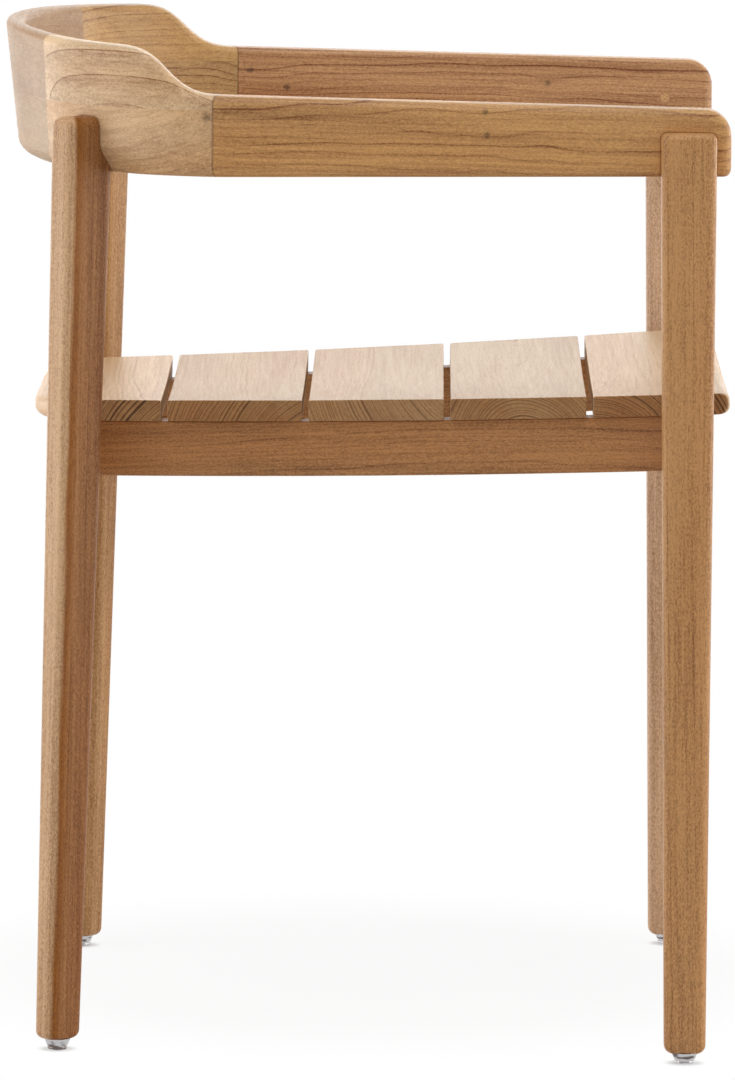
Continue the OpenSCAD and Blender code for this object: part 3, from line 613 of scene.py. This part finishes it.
def rear_leg_ring(side, height, inset, foot_inset):
    """Rounded rectangle of a rear leg at a height, drawn in by inset and by foot_inset."""
    share = (REAR_LEG_TOP_Z - height) / (REAR_LEG_TOP_Z - REAR_LEG_FOOT_Z)
    axis = REAR_LEG_TOP.lerp(REAR_LEG_FOOT, share)
    width = LEG_TOP_WIDTH + (LEG_FOOT_WIDTH - LEG_TOP_WIDTH) * share
    thickness = LEG_TOP_THICKNESS + (LEG_FOOT_THICKNESS - LEG_TOP_THICKNESS) * share
    half_width = width / 2 - inset - foot_inset
    half_depth = thickness / 2 - inset - foot_inset * FOOT_SIDE_SHARE
    radius = min(REAR_LEG_EDGE_RADIUS, half_depth - REAR_LEG_LEAST_FLAT)
    ring = []
    for corner in range(4):
        for step in range(REAR_LEG_CORNER_STEPS + 1):
            angle = tau / 4 * (corner + step / REAR_LEG_CORNER_STEPS)
            along = (half_width - radius) * (1 if corner in (0, 3) else -1) + radius * cos(angle)
            aside = (half_depth - radius) * (1 if corner < 2 else -1) + radius * sin(angle)
            ring.append((
                side * (axis.x + along * sin(REAR_LEG_TURN) - aside * cos(REAR_LEG_TURN)),
                axis.y + along * cos(REAR_LEG_TURN) + aside * sin(REAR_LEG_TURN),
                height,
            ))
    return ring


def rear_leg(node, side, material):
    """Loft from the worn foot to the domed top. Its inner side runs on inside the corner block."""
    rings = []
    for step in range(ROUNDING_STEPS + 1):
        height = rounding_height(step)
        rings.append(rear_leg_ring(side, REAR_LEG_FOOT_Z + height, 0, sole_inset(height)))
    for step in range(ROUNDING_STEPS + 1):
        angle = tau / 4 * step / ROUNDING_STEPS
        height = REAR_LEG_TOP_Z - REAR_LEG_DOME_HEIGHT * (1 - sin(angle))
        rings.append(rear_leg_ring(side, height, REAR_LEG_DOME_INSET * (1 - cos(angle)), 0))
    shape = bmesh.new()
    rings = [[shape.verts.new(point) for point in ring] for ring in rings]
    for low, high in zip(rings, rings[1:]):
        for here in range(len(low)):
            following = (here + 1) % len(low)
            shape.faces.new((low[here], low[following], high[following], high[here]))
    shape.faces.new(rings[0])
    shape.faces.new(rings[-1])
    bmesh.ops.recalc_face_normals(shape, faces=shape.faces)
    finished("teak_" + node, node, shape, material)


# The border of the dark heartwood passes HEART_EDGE, which HEART_AIM points to from the pith
HEART_EDGE = Vector((0.2332, 0.2098, 0.55))
HEART_AIM = Vector((0.139, 0.990, 0))
HEART_RADIUS = 0.060
HEART_GRAIN = Vector((-0.0146, -0.0145, 1))
REAR_LEG_KNOTS = (((-0.24, 0.2012, 0.152), 0.004),)
rear_leg_look = {"ring": 0.0042, "rings": 0.35, "figure": 0.014, "waves": 0.002, "streaks": 0.82,
                 "pores": 1.1, "shine": 0.22, "end_shade": 0.0, "heart": HEART_RADIUS}
for node, side, pale, dark, heart_dark, seed, knots in (
    ("rear_leg_right", -1, "#d5ad85", "#93663d", 0.97, 9, REAR_LEG_KNOTS),
    ("rear_leg_left", 1, "#d6ac7a", "#98693d", 0.25, 12, ()),
):
    mirror = Vector((side, 1, 1))
    pith = (HEART_EDGE - HEART_AIM * HEART_RADIUS) * mirror
    look = teak(node, HEART_GRAIN * mirror, pith, pale, dark, heart_dark=heart_dark, seed=seed,
                knots=knots, **rear_leg_look)
    rear_leg(node, side, look)


# Glides.
# A plated steel cap with a groove pressed round it is nailed under each foot. Its flat underside
# is all that meets the floor. Brown patches on the steel are a painted reflection of the wood, and
# the groove is darker.

GROOVE = (0.0016, 0.0027)
GROOVE_FADE = 0.0004
# Brown of the painted reflection of the wood, and of the darker band in the groove
REFLECTION_AND_GROOVE_BROWN = "#4b3b31"
PAINTED_REFLECTION_PATCHES = (90, 90, 230)
SCRATCHES = (500, 500, 3500)
REFLECTION_EDGE = (0.5, 0.6)
REFLECTION_DARKNESS = 0.85
GROOVE_DARKNESS = 0.6
SCRATCH_ROUGHNESS = 0.15
SCRATCH_RELIEF = 0.0001
SCRATCH_RELIEF_STRENGTH = 0.3


def metal(name, colour, roughness):
    """Plated steel, smooth and bright, with brown patches of painted reflection of the wood and a
    darker groove.
    """
    material = bpy.data.materials.new(name)
    material.use_nodes = True
    tree = material.node_tree
    surface = tree.nodes["Principled BSDF"]
    surface.inputs["Metallic"].default_value = 1
    place = tree.nodes.new("ShaderNodeTexCoord")
    reflection_patch = stretched_noise(tree, place.outputs["Object"], PAINTED_REFLECTION_PATCHES, 1)
    scratch = stretched_noise(tree, place.outputs["Object"], SCRATCHES, 2)
    scratched = Signal(tree, scratch.outputs["Fac"])
    height = parts_of(tree, place.outputs["Object"])[2]
    # Brown patches are a painted reflection of the wood, and the groove is painted darker
    groove = height.ramp(GROOVE[0] - GROOVE_FADE, GROOVE[0]) * height.ramp(*GROOVE).flipped()
    reflection_and_groove = Signal(tree, reflection_patch.outputs["Fac"]).ramp(*REFLECTION_EDGE) * REFLECTION_DARKNESS
    reflection_and_groove = reflection_and_groove.math("MAXIMUM", groove * GROOVE_DARKNESS)
    tree.links.new(blended(tree, reflection_and_groove, tint(colour), tint(REFLECTION_AND_GROOVE_BROWN)), surface.inputs["Base Color"])
    rough = scratched * SCRATCH_ROUGHNESS + roughness
    tree.links.new(rough.socket, surface.inputs["Roughness"])
    add_relief(tree, scratched.socket, SCRATCH_RELIEF, SCRATCH_RELIEF_STRENGTH)
    return material


glide_steel = metal("plated steel", "#bcbabb", roughness=0.14)
LEGS = ("front_leg_right", "front_leg_left", "rear_leg_right", "rear_leg_left")
# Half of a cap's section from the middle of its underside to the middle of its top: radius, height
GLIDE_OUTLINE = (
    (0, 0), (0.0058, 0), (0.0069, 0.0004), (0.0073, 0.0011), (0.0073, 0.0016), (0.0070, 0.0020),
    (0.0070, 0.0025), (0.0075, 0.0031), (0.0082, 0.0046), (0.0089, 0.0064), (0.0092, 0.0071),
    (0.0091, 0.0080), (0, 0.0080),
)
GLIDE_SIDES = 64


def glide_cap():
    """One cap, turned from its outline about the Z axis."""
    shape = bmesh.new()
    points = [shape.verts.new((radius, 0, height)) for radius, height in GLIDE_OUTLINE]
    edges = [shape.edges.new(pair) for pair in zip(points, points[1:])]
    bmesh.ops.spin(shape, geom=points + edges, cent=(0, 0, 0), axis=(0, 0, 1),
                   angle=tau, steps=GLIDE_SIDES, use_merge=True)
    bmesh.ops.remove_doubles(shape, verts=shape.verts, dist=WELD)
    bmesh.ops.recalc_face_normals(shape, faces=shape.faces)
    return placed("glide_cap", smooth_mesh("glide_cap", shape))


def grown(name, tree, values, start):
    """Plain mesh that the Geometry Nodes tree makes of the mesh start, with values by input."""
    carrier = placed(name + "_carrier", start)
    modifier = carrier.modifiers.new(name, "NODES")
    modifier.node_group = tree
    for socket, value in values.items():
        modifier[tree.interface.items_tree[socket].identifier] = value
    bpy.context.view_layer.update()
    evaluated = carrier.evaluated_get(bpy.context.evaluated_depsgraph_get())
    mesh = bpy.data.meshes.new_from_object(evaluated)
    bpy.data.objects.remove(carrier)
    return mesh


def painted(tree, geometry, finish):
    """A geometry socket with its instances made real, in the material finish."""
    realize = tree.nodes.new("GeometryNodeRealizeInstances")
    paint = tree.nodes.new("GeometryNodeSetMaterial")
    tree.links.new(geometry, realize.inputs["Geometry"])
    tree.links.new(realize.outputs["Geometry"], paint.inputs["Geometry"])
    tree.links.new(finish, paint.inputs["Material"])
    return paint.outputs["Geometry"]


def copies_at_points(name, points, pattern, material):
    """Geometry Nodes: the object pattern at each point, joined into one plain mesh."""
    tree, given, result = new_tree(
        name, "GeometryNodeTree",
        {"Geometry": "Geometry", "Pattern": "Object", "Finish": "Material"}, {"Geometry": "Geometry"})
    info = tree.nodes.new("GeometryNodeObjectInfo")
    copies = tree.nodes.new("GeometryNodeInstanceOnPoints")
    tree.links.new(given["Pattern"], info.inputs["Object"])
    tree.links.new(given["Geometry"], copies.inputs["Points"])
    tree.links.new(info.outputs["Geometry"], copies.inputs["Instance"])
    tree.links.new(painted(tree, copies.outputs["Instances"], given["Finish"]), result["Geometry"])
    spots = bpy.data.meshes.new(name + "_points")
    spots.from_pydata(points, [], [])
    mesh = grown(name, tree, {"Pattern": pattern, "Finish": material}, spots)
    bpy.data.objects.remove(pattern)
    return placed(name, mesh)


caps = copies_at_points("glide_caps", [foot_of(leg) for leg in LEGS], glide_cap(), glide_steel)
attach(caps, "root")
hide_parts("glides")


# Seat frame.
# Two side rails run under the slat ends, tenoned into a cross rail between the front legs and
# one between the rear legs. It is darker teak than the slats, with a wavy grain.

SIDE_RAIL_GRAIN = Vector((-0.19, 1, -0.04))
SIDE_RAIL_PITH = Vector((-0.03, 0, -0.05))
CROSS_RAIL_GRAIN = (1, 0, 0)
CROSS_RAIL_PITH = Vector((0, 0.05, -0.04))
frame_look = {"pale": "#be8955", "dark": "#774924", "ring": 0.0038, "rings": 0.55,
              "figure": 0.045, "waves": 0.005, "streaks": 0.9}
for node, side, seed in (("side_rail_right", -1, 21), ("side_rail_left", 1, 23)):
    mirror = Vector((side, 1, 1))
    pith = middle_of(node) + SIDE_RAIL_PITH * mirror
    sanded(node, teak(node, SIDE_RAIL_GRAIN * mirror, pith, seed=seed, **frame_look))
for node, seed in (("front_cross_rail", 25), ("rear_cross_rail", 27)):
    pith = middle_of(node) + CROSS_RAIL_PITH
    sanded(node, teak(node, CROSS_RAIL_GRAIN, pith, seed=seed, **frame_look))


# Seat slats.
# Five wide boards of pale teak, flat-sawn, so that their ends show the arches of the rings and
# their faces broad flames. They are hollowed a little, and dowels hold them to the side rails.

SLAT_SIZES = (
    "Front Edge", "Rear Edge", "Front Height", "Rear Height", "Thickness", "Front Radius",
    "Rear Radius", "Seat Half", "Seat Middle", "Taper", "Dish", "Front Inset", "Rear Inset",
    "Corner Run",
)
SLAT_SECTIONS = 49
SLAT_ROUNDING_STEPS = 4


def make_slat_tree():
    """Geometry Nodes: a board swept from end to end, cut to the seat's taper and hollowed."""
    tree, given, result = new_tree("Seat slat", "GeometryNodeTree",
                                   dict.fromkeys(SLAT_SIZES, "Float") | {"Finish": "Material"},
                                   {"Geometry": "Geometry"})
    link = tree.links.new
    size = {name: Signal(tree, given[name]) for name in SLAT_SIZES}

    # The board's section: a rectangle with its own radius along the front and the rear edge
    width = size["Rear Edge"] - size["Front Edge"]
    section = tree.nodes.new("GeometryNodeCurvePrimitiveQuadrilateral")
    link(width.socket, section.inputs["Width"])
    link(given["Thickness"], section.inputs["Height"])
    across = parts_of(tree, tree.nodes.new("GeometryNodeInputPosition").outputs[0])[0]
    front = across.math("LESS_THAN", 0)
    radius = front * size["Front Radius"] + front.flipped() * size["Rear Radius"]
    rounded = tree.nodes.new("GeometryNodeFilletCurve")
    rounded.mode = "POLY"
    rounded.inputs["Count"].default_value = SLAT_ROUNDING_STEPS
    link(section.outputs[0], rounded.inputs["Curve"])
    link(radius.socket, rounded.inputs["Radius"])

    # The sections stand closer together towards the ends, where the seat's corners are rounded
    line = tree.nodes.new("GeometryNodeCurvePrimitiveLine")
    line.inputs["Start"].default_value = (-1, 0, 0)
    line.inputs["End"].default_value = (1, 0, 0)
    spaced = tree.nodes.new("GeometryNodeResampleCurve")
    spaced.inputs["Count"].default_value = SLAT_SECTIONS
    sweep = tree.nodes.new("GeometryNodeCurveToMesh")
    sweep.inputs["Fill Caps"].default_value = True
    link(line.outputs[0], spaced.inputs["Curve"])
    link(spaced.outputs[0], sweep.inputs["Curve"])
    link(rounded.outputs[0], sweep.inputs["Profile Curve"])

    x, y, z = parts_of(tree, tree.nodes.new("GeometryNodeInputPosition").outputs[0])
    y = y * -1
    share = (x * (tau / 4)).math("SINE")
    middle = (size["Front Edge"] + size["Rear Edge"]) * 0.5
    slat_half = size["Seat Half"] - (middle - size["Seat Middle"]) * size["Taper"]
    near_end = (share.math("ABSOLUTE") - 1) * slat_half / size["Corner Run"]
    near_end = (near_end + 1).math("MAXIMUM", 0)
    inset = (near_end * near_end).flipped().math("SQRT").flipped()
    front = y.math("LESS_THAN", 0)
    depth = middle + y
    depth = depth + front * size["Front Inset"] * inset - front.flipped() * size["Rear Inset"] * inset
    half = size["Seat Half"] - (depth - size["Seat Middle"]) * size["Taper"]
    rise = (depth - size["Front Edge"]) / width
    height = size["Front Height"] + (size["Rear Height"] - size["Front Height"]) * rise
    height = height + z - size["Thickness"] * 0.5 - size["Dish"] * (share * share).flipped()
    place = tree.nodes.new("ShaderNodeCombineXYZ")
    for axis, value in zip("XYZ", (share * half, depth, height)):
        link(value.socket, place.inputs[axis])
    cut = tree.nodes.new("GeometryNodeSetPosition")
    link(sweep.outputs[0], cut.inputs["Geometry"])
    link(place.outputs[0], cut.inputs["Position"])
    link(painted(tree, cut.outputs[0], given["Finish"]), result["Geometry"])
    return tree


slat_tree = make_slat_tree()
SLAT_WIDTH = 0.0978
SLAT_GAP = 0.005
SLAT_THICKNESS = 0.0153
SLAT_DISH = 0.0025
REAR_SLAT_TRIM = 0.003
SLAT_EDGE_RADIUS = 0.0012
SLAT_EASED_EDGE = 0.0006
SEAT_NOSE_RADIUS = 0.006
SEAT_FRONT_WIDTH = 0.470
SEAT_REAR_WIDTH = 0.281
SEAT_FRONT = -0.2655
SEAT_DEPTH = 0.506
SEAT_HEIGHT = 0.4712
SEAT_FALL = radians(2.2)
SEAT_HOLLOW = 0.0027
FRONT_CORNER_INSET = 0.004
FRONT_CORNER_RUN = 0.004
REAR_CORNER_INSET = 0.030
REAR_CORNER_RUN = 0.080
SEAT_MIDDLE = SEAT_FRONT + SEAT_DEPTH / 2
SEAT_MIDDLE_HALF = (SEAT_FRONT_WIDTH + SEAT_REAR_WIDTH) / 4
SEAT_TAPER = (SEAT_FRONT_WIDTH - SEAT_REAR_WIDTH) / 2 / SEAT_DEPTH


# Each slat's pale colour, how dark its sawn ends are, the way to its pith, and its seed
SLATS = (
    ("#d9bb95", 1.55, (0, 0.050, -0.045), 31),
    ("#c5a981", 0.9, (0, -0.002, -0.022), 32),
    ("#c5a881", 0.7, (0, -0.075, 0.045), 33),
    ("#c5a880", 0.9, (0, -0.075, -0.045), 34),
    ("#e6c59d", 1.9, (0, -0.090, -0.050), 35),
)


def seat_height(depth):
    """Height of the seat over the slats' ends: it falls to the rear and is a little hollow."""
    back = depth - SEAT_MIDDLE
    return SEAT_HEIGHT - back * tan(SEAT_FALL) + SEAT_HOLLOW * (2 * back / SEAT_DEPTH) ** 2


def make_slat(number, finish):
    """Mesh of a slat, numbered from the front, out of the slat tree."""
    foremost = number == 1
    rearmost = number == len(SLATS)
    front = SEAT_FRONT + (number - 1) * (SLAT_WIDTH + SLAT_GAP)
    rear = front + SLAT_WIDTH - (REAR_SLAT_TRIM if rearmost else 0)
    sizes = {
        "Front Edge": front,
        "Rear Edge": rear,
        "Front Height": seat_height(front),
        "Rear Height": seat_height(rear),
        "Thickness": SLAT_THICKNESS,
        "Front Radius": SEAT_NOSE_RADIUS if foremost else SLAT_EDGE_RADIUS,
        "Rear Radius": SEAT_NOSE_RADIUS if rearmost else SLAT_EDGE_RADIUS,
        "Seat Half": SEAT_MIDDLE_HALF,
        "Seat Middle": SEAT_MIDDLE,
        "Taper": SEAT_TAPER,
        "Dish": SLAT_DISH,
        "Front Inset": FRONT_CORNER_INSET if foremost else 0.0,
        "Rear Inset": REAR_CORNER_INSET if rearmost else 0.0,
        "Corner Run": REAR_CORNER_RUN if rearmost else FRONT_CORNER_RUN,
    }
    name = f"seat_slat_{number}"
    start = bpy.data.meshes.new(name + "_start")
    return grown(name, slat_tree, sizes | {"Finish": finish}, start)


SLAT_GRAIN = (1, 0.01, 0.02)
slat_look = {"dark": "#98693c", "ring": 0.0022, "rings": 0.42, "figure": 0.016, "waves": 0.004,
             "streaks": 0.45, "pores": 0.5}
for number, (pale, end_shade, pith, seed) in enumerate(SLATS, start=1):
    node = f"seat_slat_{number}"
    look = teak(node, SLAT_GRAIN, middle_of(node) + Vector(pith), pale, seed=seed,
                end_shade=end_shade, **slat_look)
    shape = bmesh.new()
    shape.from_mesh(make_slat(number, look))
    bmesh.ops.remove_doubles(shape, verts=shape.verts, dist=WELD)
    bmesh.ops.recalc_face_normals(shape, faces=shape.faces)
    finished("teak_" + node, node, shape, look, edge=SLAT_EASED_EDGE)


# Horseshoe rail.
# Arms, corner blocks and back are butted and dowelled into one horseshoe. The corners and the
# back are glued up from two layers, and the corner's top edge sweeps up from arm to back.

FRONT_LEG_TOP = Vector((0.261, -0.23305))
FRONT_LEG_TOP_Z = 0.6725
FRONT_LEG_JOINT_WIDTH = 0.0399
FRONT_LEG_EDGE_RADIUS = 0.005
BUTT_JOINT_ROUNDING = 0.001
ENDLESS = 9


def leg_joint(side, top, height, width, turn, edge_radius):
    """Outline of a leg's top in the arm or corner block, as a joint."""
    centre = (side * top.x, top.y, height - ENDLESS)
    half_size = (LEG_TOP_THICKNESS / 2, width / 2, ENDLESS)
    return centre, half_size, -side * turn, edge_radius


def butt_joint(first, second):
    """The upright plane in which two pieces of the rail meet, as a joint."""
    def points(node):
        return {tuple(round(c, 5) for c in v.co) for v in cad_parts[node].data.vertices}

    shared = sorted(points(first) & points(second), key=lambda p: abs(p[0]))
    inner = Vector(shared[0])
    outer = Vector(shared[-1])
    normal = (outer - inner).cross(Vector((0, 0, 1))).normalized()
    turn = normal.to_2d().angle_signed(Vector((1, 0)))
    return inner - normal * ENDLESS, (ENDLESS,) * 3, turn, BUTT_JOINT_ROUNDING


ARM_GRAIN = (0.01, 1, 0.02)
ARM_PITH = Vector((-0.02, 0, -0.06))
ARM_KNOTS = {
    "arm_right": (((-0.259, -0.0873, 0.6861), 0.003), ((-0.259, -0.0888, 0.669), 0.0035)),
    "arm_left": (((0.233, 0.0901, 0.6782), 0.0036), ((0.233, 0.0617, 0.6654), 0.0038),
                 ((0.233, -0.1379, 0.6703), 0.0032)),
}
arm_look = {"ring": 0.0060, "rings": 0.75, "figure": 0.032, "waves": 0.007, "streaks": 0.8,
            "pores": 0.7}
for node, side, pale, dark, seed in (
    ("arm_right", -1, "#d4a56b", "#7b4922", 44),
    ("arm_left", 1, "#d1a171", "#784323", 46),
):
    corner = node.replace("arm", "corner_lower")
    pith = middle_of(node) + ARM_PITH * Vector((side, 1, 1))
    # A line of painted shade and dirt runs round the leg's top and along the butt joint
    leg_top = leg_joint(side, FRONT_LEG_TOP, FRONT_LEG_TOP_Z, FRONT_LEG_JOINT_WIDTH, 0,
                        FRONT_LEG_EDGE_RADIUS)
    look = teak(node, ARM_GRAIN, pith, pale, dark, seed=seed, knots=ARM_KNOTS[node],
                joints=(leg_top, butt_joint(node, corner)), **arm_look)
    sanded(node, look)

CORNER_MIDDLE = radians(36)
CORNER_CENTRE = Vector((0.109, 0.08612, 0))
CORNER_RADIUS = 0.150
ARM_JOINT_SKEW = 0.002
UNDER_EDGE_HEIGHT = 0.0207
UNDER_EDGE_DEPTH = 0.0117
UNDER_EDGE_BULGE = 1.5
UNDER_EDGE_RISE = (radians(14), radians(40))
UNDER_EDGE_FALL = (radians(69), radians(54))
UNDER_EDGE_REACH = 0.0115
UNDER_EDGE_RADIUS = 0.009
UNDER_EDGE_CUTS = 8
arm_joint_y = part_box("arm_right")[1].y


def at_arm_joint(point):
    """The butt joint's edges are eased. A corner block's other sharp edges are its glue lines."""
    return point.y < arm_joint_y + ARM_JOINT_SKEW


def smooth_step(value, start, end):
    """0 before start, 1 past end, and smooth between them."""
    share = min(max((value - start) / (end - start), 0), 1)
    return (3 - 2 * share) * share ** 2


def draw_in_under_edge(shape, side):
    """The lower outer edge is rounded off more where it meets the rear leg."""
    base = min(v.co.z for v in shape.verts)
    for step in range(1, UNDER_EDGE_CUTS + 1):
        cut_level(shape, base + UNDER_EDGE_HEIGHT * step / UNDER_EDGE_CUTS)
    centre = (CORNER_CENTRE * Vector((side, 1, 1))).to_2d()
    for vert in shape.verts:
        share = (vert.co.z - base) / UNDER_EDGE_HEIGHT
        away = vert.co.to_2d() - centre
        if share >= 1 or away.length < CORNER_RADIUS - UNDER_EDGE_REACH:
            continue
        turn = atan2(away.y, side * away.x)
        wanted = UNDER_EDGE_DEPTH * (1 - share) ** UNDER_EDGE_BULGE
        wanted *= smooth_step(turn, *UNDER_EDGE_RISE) * smooth_step(turn, *UNDER_EDGE_FALL)
        left = max(UNDER_EDGE_RADIUS - share * UNDER_EDGE_HEIGHT, 0)
        present = UNDER_EDGE_RADIUS - sqrt(UNDER_EDGE_RADIUS ** 2 - left ** 2)
        vert.co.xy -= away.normalized() * max(wanted - present, 0)


near_look = {"dark": "#926439", "figure": 0.006, "streaks": 0.65, "pores": 0.6}
far_look = {"dark": "#80552d", "figure": 0.006, "streaks": 0.65, "pores": 0.6, "ring": 0.0048,
            "rings": 0.8, "waves": 0.005}
lower_look = {"seed": 51}
upper_look = {"seed": 291, "phase": 1.06}
# For each layer: how far out from the corner's outline its pith is, how high, and the grain's dip
for node, side, (out, height, dip), look_values in (
    ("corner_lower_right", -1, (0.030, 0.712, 0.16), near_look | lower_look | {
        "pale": "#e1bc91", "ring": 0.0030, "rings": 0.14, "waves": 0.003,
        "knots": (((-0.259, 0.1115, 0.6805), 0.006),)}),
    ("corner_upper_right", -1, (0.012, 0.676, 0), near_look | upper_look | {
        "pale": "#e6c8a1", "ring": 0.0171, "rings": 0.75}),
    ("corner_lower_left", 1, (-0.02, 0.56, 0), far_look | lower_look | {
        "pale": "#cba470", "knots": (((0.22, 0.1108, 0.6763), 0.0045),)}),
    ("corner_upper_left", 1, (-0.02, 0.56, 0), far_look | upper_look | {"pale": "#cda771"}),
):
    outward = Vector((side * cos(CORNER_MIDDLE), sin(CORNER_MIDDLE), 0))
    tangent = Vector((-outward.y, outward.x, 0)) * side
    centre = CORNER_CENTRE * Vector((side, 1, 1))
    pith = centre + outward * (CORNER_RADIUS + out) + Vector((0, 0, height))
    lower = node.replace("upper", "lower")
    arm = lower.replace("corner_lower", "arm")
    # A line of painted shade and dirt runs round the leg's top and along the butt joint
    leg_top = leg_joint(side, REAR_LEG_TOP, REAR_LEG_TOP_Z, LEG_TOP_WIDTH, REAR_LEG_TURN,
                        REAR_LEG_EDGE_RADIUS)
    look = teak(node, tangent - Vector((0, 0, dip)), pith, **look_values,
                joints=(leg_top, butt_joint(lower, arm)))
    shape = cad_shape(node)
    if node == lower:
        draw_in_under_edge(shape, side)
    finished("teak_" + node, node, shape, look, at_arm_joint)

BACK_GRAIN = (1, 0, 0)
BACK_PITH = Vector((0, 0.02, -0.12))
back_look = {"dark": "#8a643e", "ring": 0.003, "rings": 0.3, "figure": 0.012, "streaks": 0.6,
             "pores": 0.55}
for node, pale, seed in (("back_lower", "#b89974", 61), ("back_upper", "#b79774", 62)):
    look = teak(node, BACK_GRAIN, middle_of(node) + BACK_PITH, pale, seed=seed, **back_look)
    sanded(node, look, eased=lambda middle: False)


# Fixings.
# Dowels and screws are hidden in the joints. Each screw is covered by a plug of the arm's own
# wood, cut across the board so that its grain can be laid along the arm's.

PLUG_GRAIN = (0, 1, 0.1)
PLUG_PITH = Vector((0.03, 0, 0.01))
DOWEL_GRAIN = (0, 0, 1)
DOWEL_PITH = (0.3, 0.3, 0)
plug_wood = teak("plugs", PLUG_GRAIN, middle_of("arm_left") + PLUG_PITH, "#d9b182", "#a87c4a",
                 ring=0.002, rings=0.7, figure=0.01)
dowel_wood = teak("dowels", DOWEL_GRAIN, DOWEL_PITH, "#d9c3a0", "#b99f78", ring=0.003, rings=0.2)
screw_steel = metal("screw steel", "#a9a9ac", roughness=0.35)
for node, material in (("screw_plugs", plug_wood), ("rail_dowels", dowel_wood),
                       ("slat_dowels", dowel_wood), ("frame_screws", screw_steel),
                       ("glide_nails", screw_steel)):
    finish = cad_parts[node].data.materials
    finish.clear()
    finish.append(material)


# Studio.
# A white floor under a white sky. Wide softboxes hang overhead and stand behind, in front of and
# beyond the chair, and two small ones light its far edges. The camera stands on its right.

FLOOR_REACH = 30
FLOOR_WHITE = 0.8
SHADOW_WEIGHT = 0.12
SHADOW_CENTRE = (0.12, 0, 0)
SHADOW_REACH = (0.2, 0.42)
CONTACT_WEIGHT = 0.6
CONTACT_REACH = (0.007, 0.017)
AMBIENT = 0.38
CHAIR_MIDDLE = Vector((0, 0, 0.5))


def seen_white(tree, direct):
    """Factor that is 1 for rays that show the background: camera, glossy and transmission."""
    path = tree.nodes.new("ShaderNodeLightPath")
    seen = Signal(tree, path.outputs["Is Camera Ray"]) * direct
    mirrored = Signal(tree, path.outputs["Is Glossy Ray"])
    through = Signal(tree, path.outputs["Is Transmission Ray"])
    return seen.math("MAXIMUM", mirrored).math("MAXIMUM", through)


def make_floor():
    """Floor that shows white, with a soft shadow under the chair and a darker one at each foot."""
    mesh = bpy.data.meshes.new("floor")
    corners = [(x * FLOOR_REACH, y * FLOOR_REACH, 0) for x, y in ((-1, -1), (1, -1), (1, 1), (-1, 1))]
    mesh.from_pydata(corners, [], [(0, 1, 2, 3)])
    material = bpy.data.materials.new("white floor")
    material.use_nodes = True
    tree = material.node_tree
    tree.nodes.remove(tree.nodes["Principled BSDF"])
    paint = tree.nodes.new("ShaderNodeBsdfDiffuse")
    paint.inputs["Color"].default_value = (FLOOR_WHITE, FLOOR_WHITE, FLOOR_WHITE, 1)
    glow = tree.nodes.new("ShaderNodeEmission")
    mix = tree.nodes.new("ShaderNodeMixShader")
    output = tree.nodes["Material Output"]
    place = tree.nodes.new("ShaderNodeTexCoord")

    def distance(point):
        """How far a place on the floor is from the point."""
        return vector_math(tree, "DISTANCE", place.outputs["Object"], point)

    shown = distance(SHADOW_CENTRE).ramp(*SHADOW_REACH) * SHADOW_WEIGHT + (1 - SHADOW_WEIGHT)
    for leg in LEGS:
        shown = shown - distance(foot_of(leg)).ramp(*CONTACT_REACH).flipped() * CONTACT_WEIGHT
    tree.links.new(seen_white(tree, shown).socket, mix.inputs["Fac"])
    tree.links.new(paint.outputs[0], mix.inputs[1])
    tree.links.new(glow.outputs[0], mix.inputs[2])
    tree.links.new(mix.outputs[0], output.inputs["Surface"])
    mesh.materials.append(material)
    placed("floor", mesh)


def make_sky(ambient):
    """Sky that shows white and lights the chair with the strength ambient."""
    world = bpy.data.worlds.new("white sky")
    bpy.context.scene.world = world
    world.use_nodes = True
    tree = world.node_tree
    sky = tree.nodes["Background"]
    sky.inputs["Color"].default_value = (1, 1, 1, 1)
    seen = seen_white(tree, 1)
    tree.links.new((seen * (1 - ambient) + ambient).socket, sky.inputs["Strength"])


def softbox(name, place, size, power):
    """Square area light of a size in metres and a power in watts, aimed at the chair's middle."""
    light = bpy.data.lights.new(name, "AREA")
    light.size = size
    light.energy = power
    lamp = placed(name, light)
    lamp.location = place
    lamp.rotation_euler = (CHAIR_MIDDLE - Vector(place)).to_track_quat("-Z", "Y").to_euler()
    lamp.visible_camera = False


def add_camera(place, yaw, pitch, roll, focal_length):
    """Camera that looks along +X, turned by yaw to the left, pitch down and roll clockwise."""
    ahead = Vector((cos(pitch) * cos(yaw), cos(pitch) * sin(yaw), -sin(pitch)))
    level = Vector((sin(yaw), -cos(yaw), 0))
    above = level.cross(ahead)
    right = cos(roll) * level + sin(roll) * above
    up = cos(roll) * above - sin(roll) * level
    data = bpy.data.cameras.new("camera")
    data.lens = focal_length
    data.clip_end = 4 * FLOOR_REACH
    camera = placed("camera", data)
    camera.matrix_world = Matrix((right, up, -ahead)).transposed().to_4x4()
    camera.location = place
    bpy.context.scene.camera = camera


make_floor()
make_sky(AMBIENT)
softbox("overhead", place=(-0.9, 0.3, 2.9), size=2.2, power=30)
softbox("rear", place=(-0.5, 3.0, 0.8), size=2.3, power=41)
softbox("front", place=(-0.5, -3.0, 1.0), size=2.3, power=50)
softbox("backdrop", place=(3.4, 0.0, 0.9), size=2.6, power=30)
softbox("rear rim", place=(2.0, 2.6, 0.6), size=1.1, power=18)
softbox("front rim", place=(2.0, -2.6, 0.6), size=1.1, power=18)
add_camera(place=(-6.975, -0.0505, 1.2115), yaw=radians(0.3785), pitch=radians(7.0758),
           roll=radians(0.4923), focal_length=314.6)
bpy.context.scene.view_settings.view_transform = "Standard"
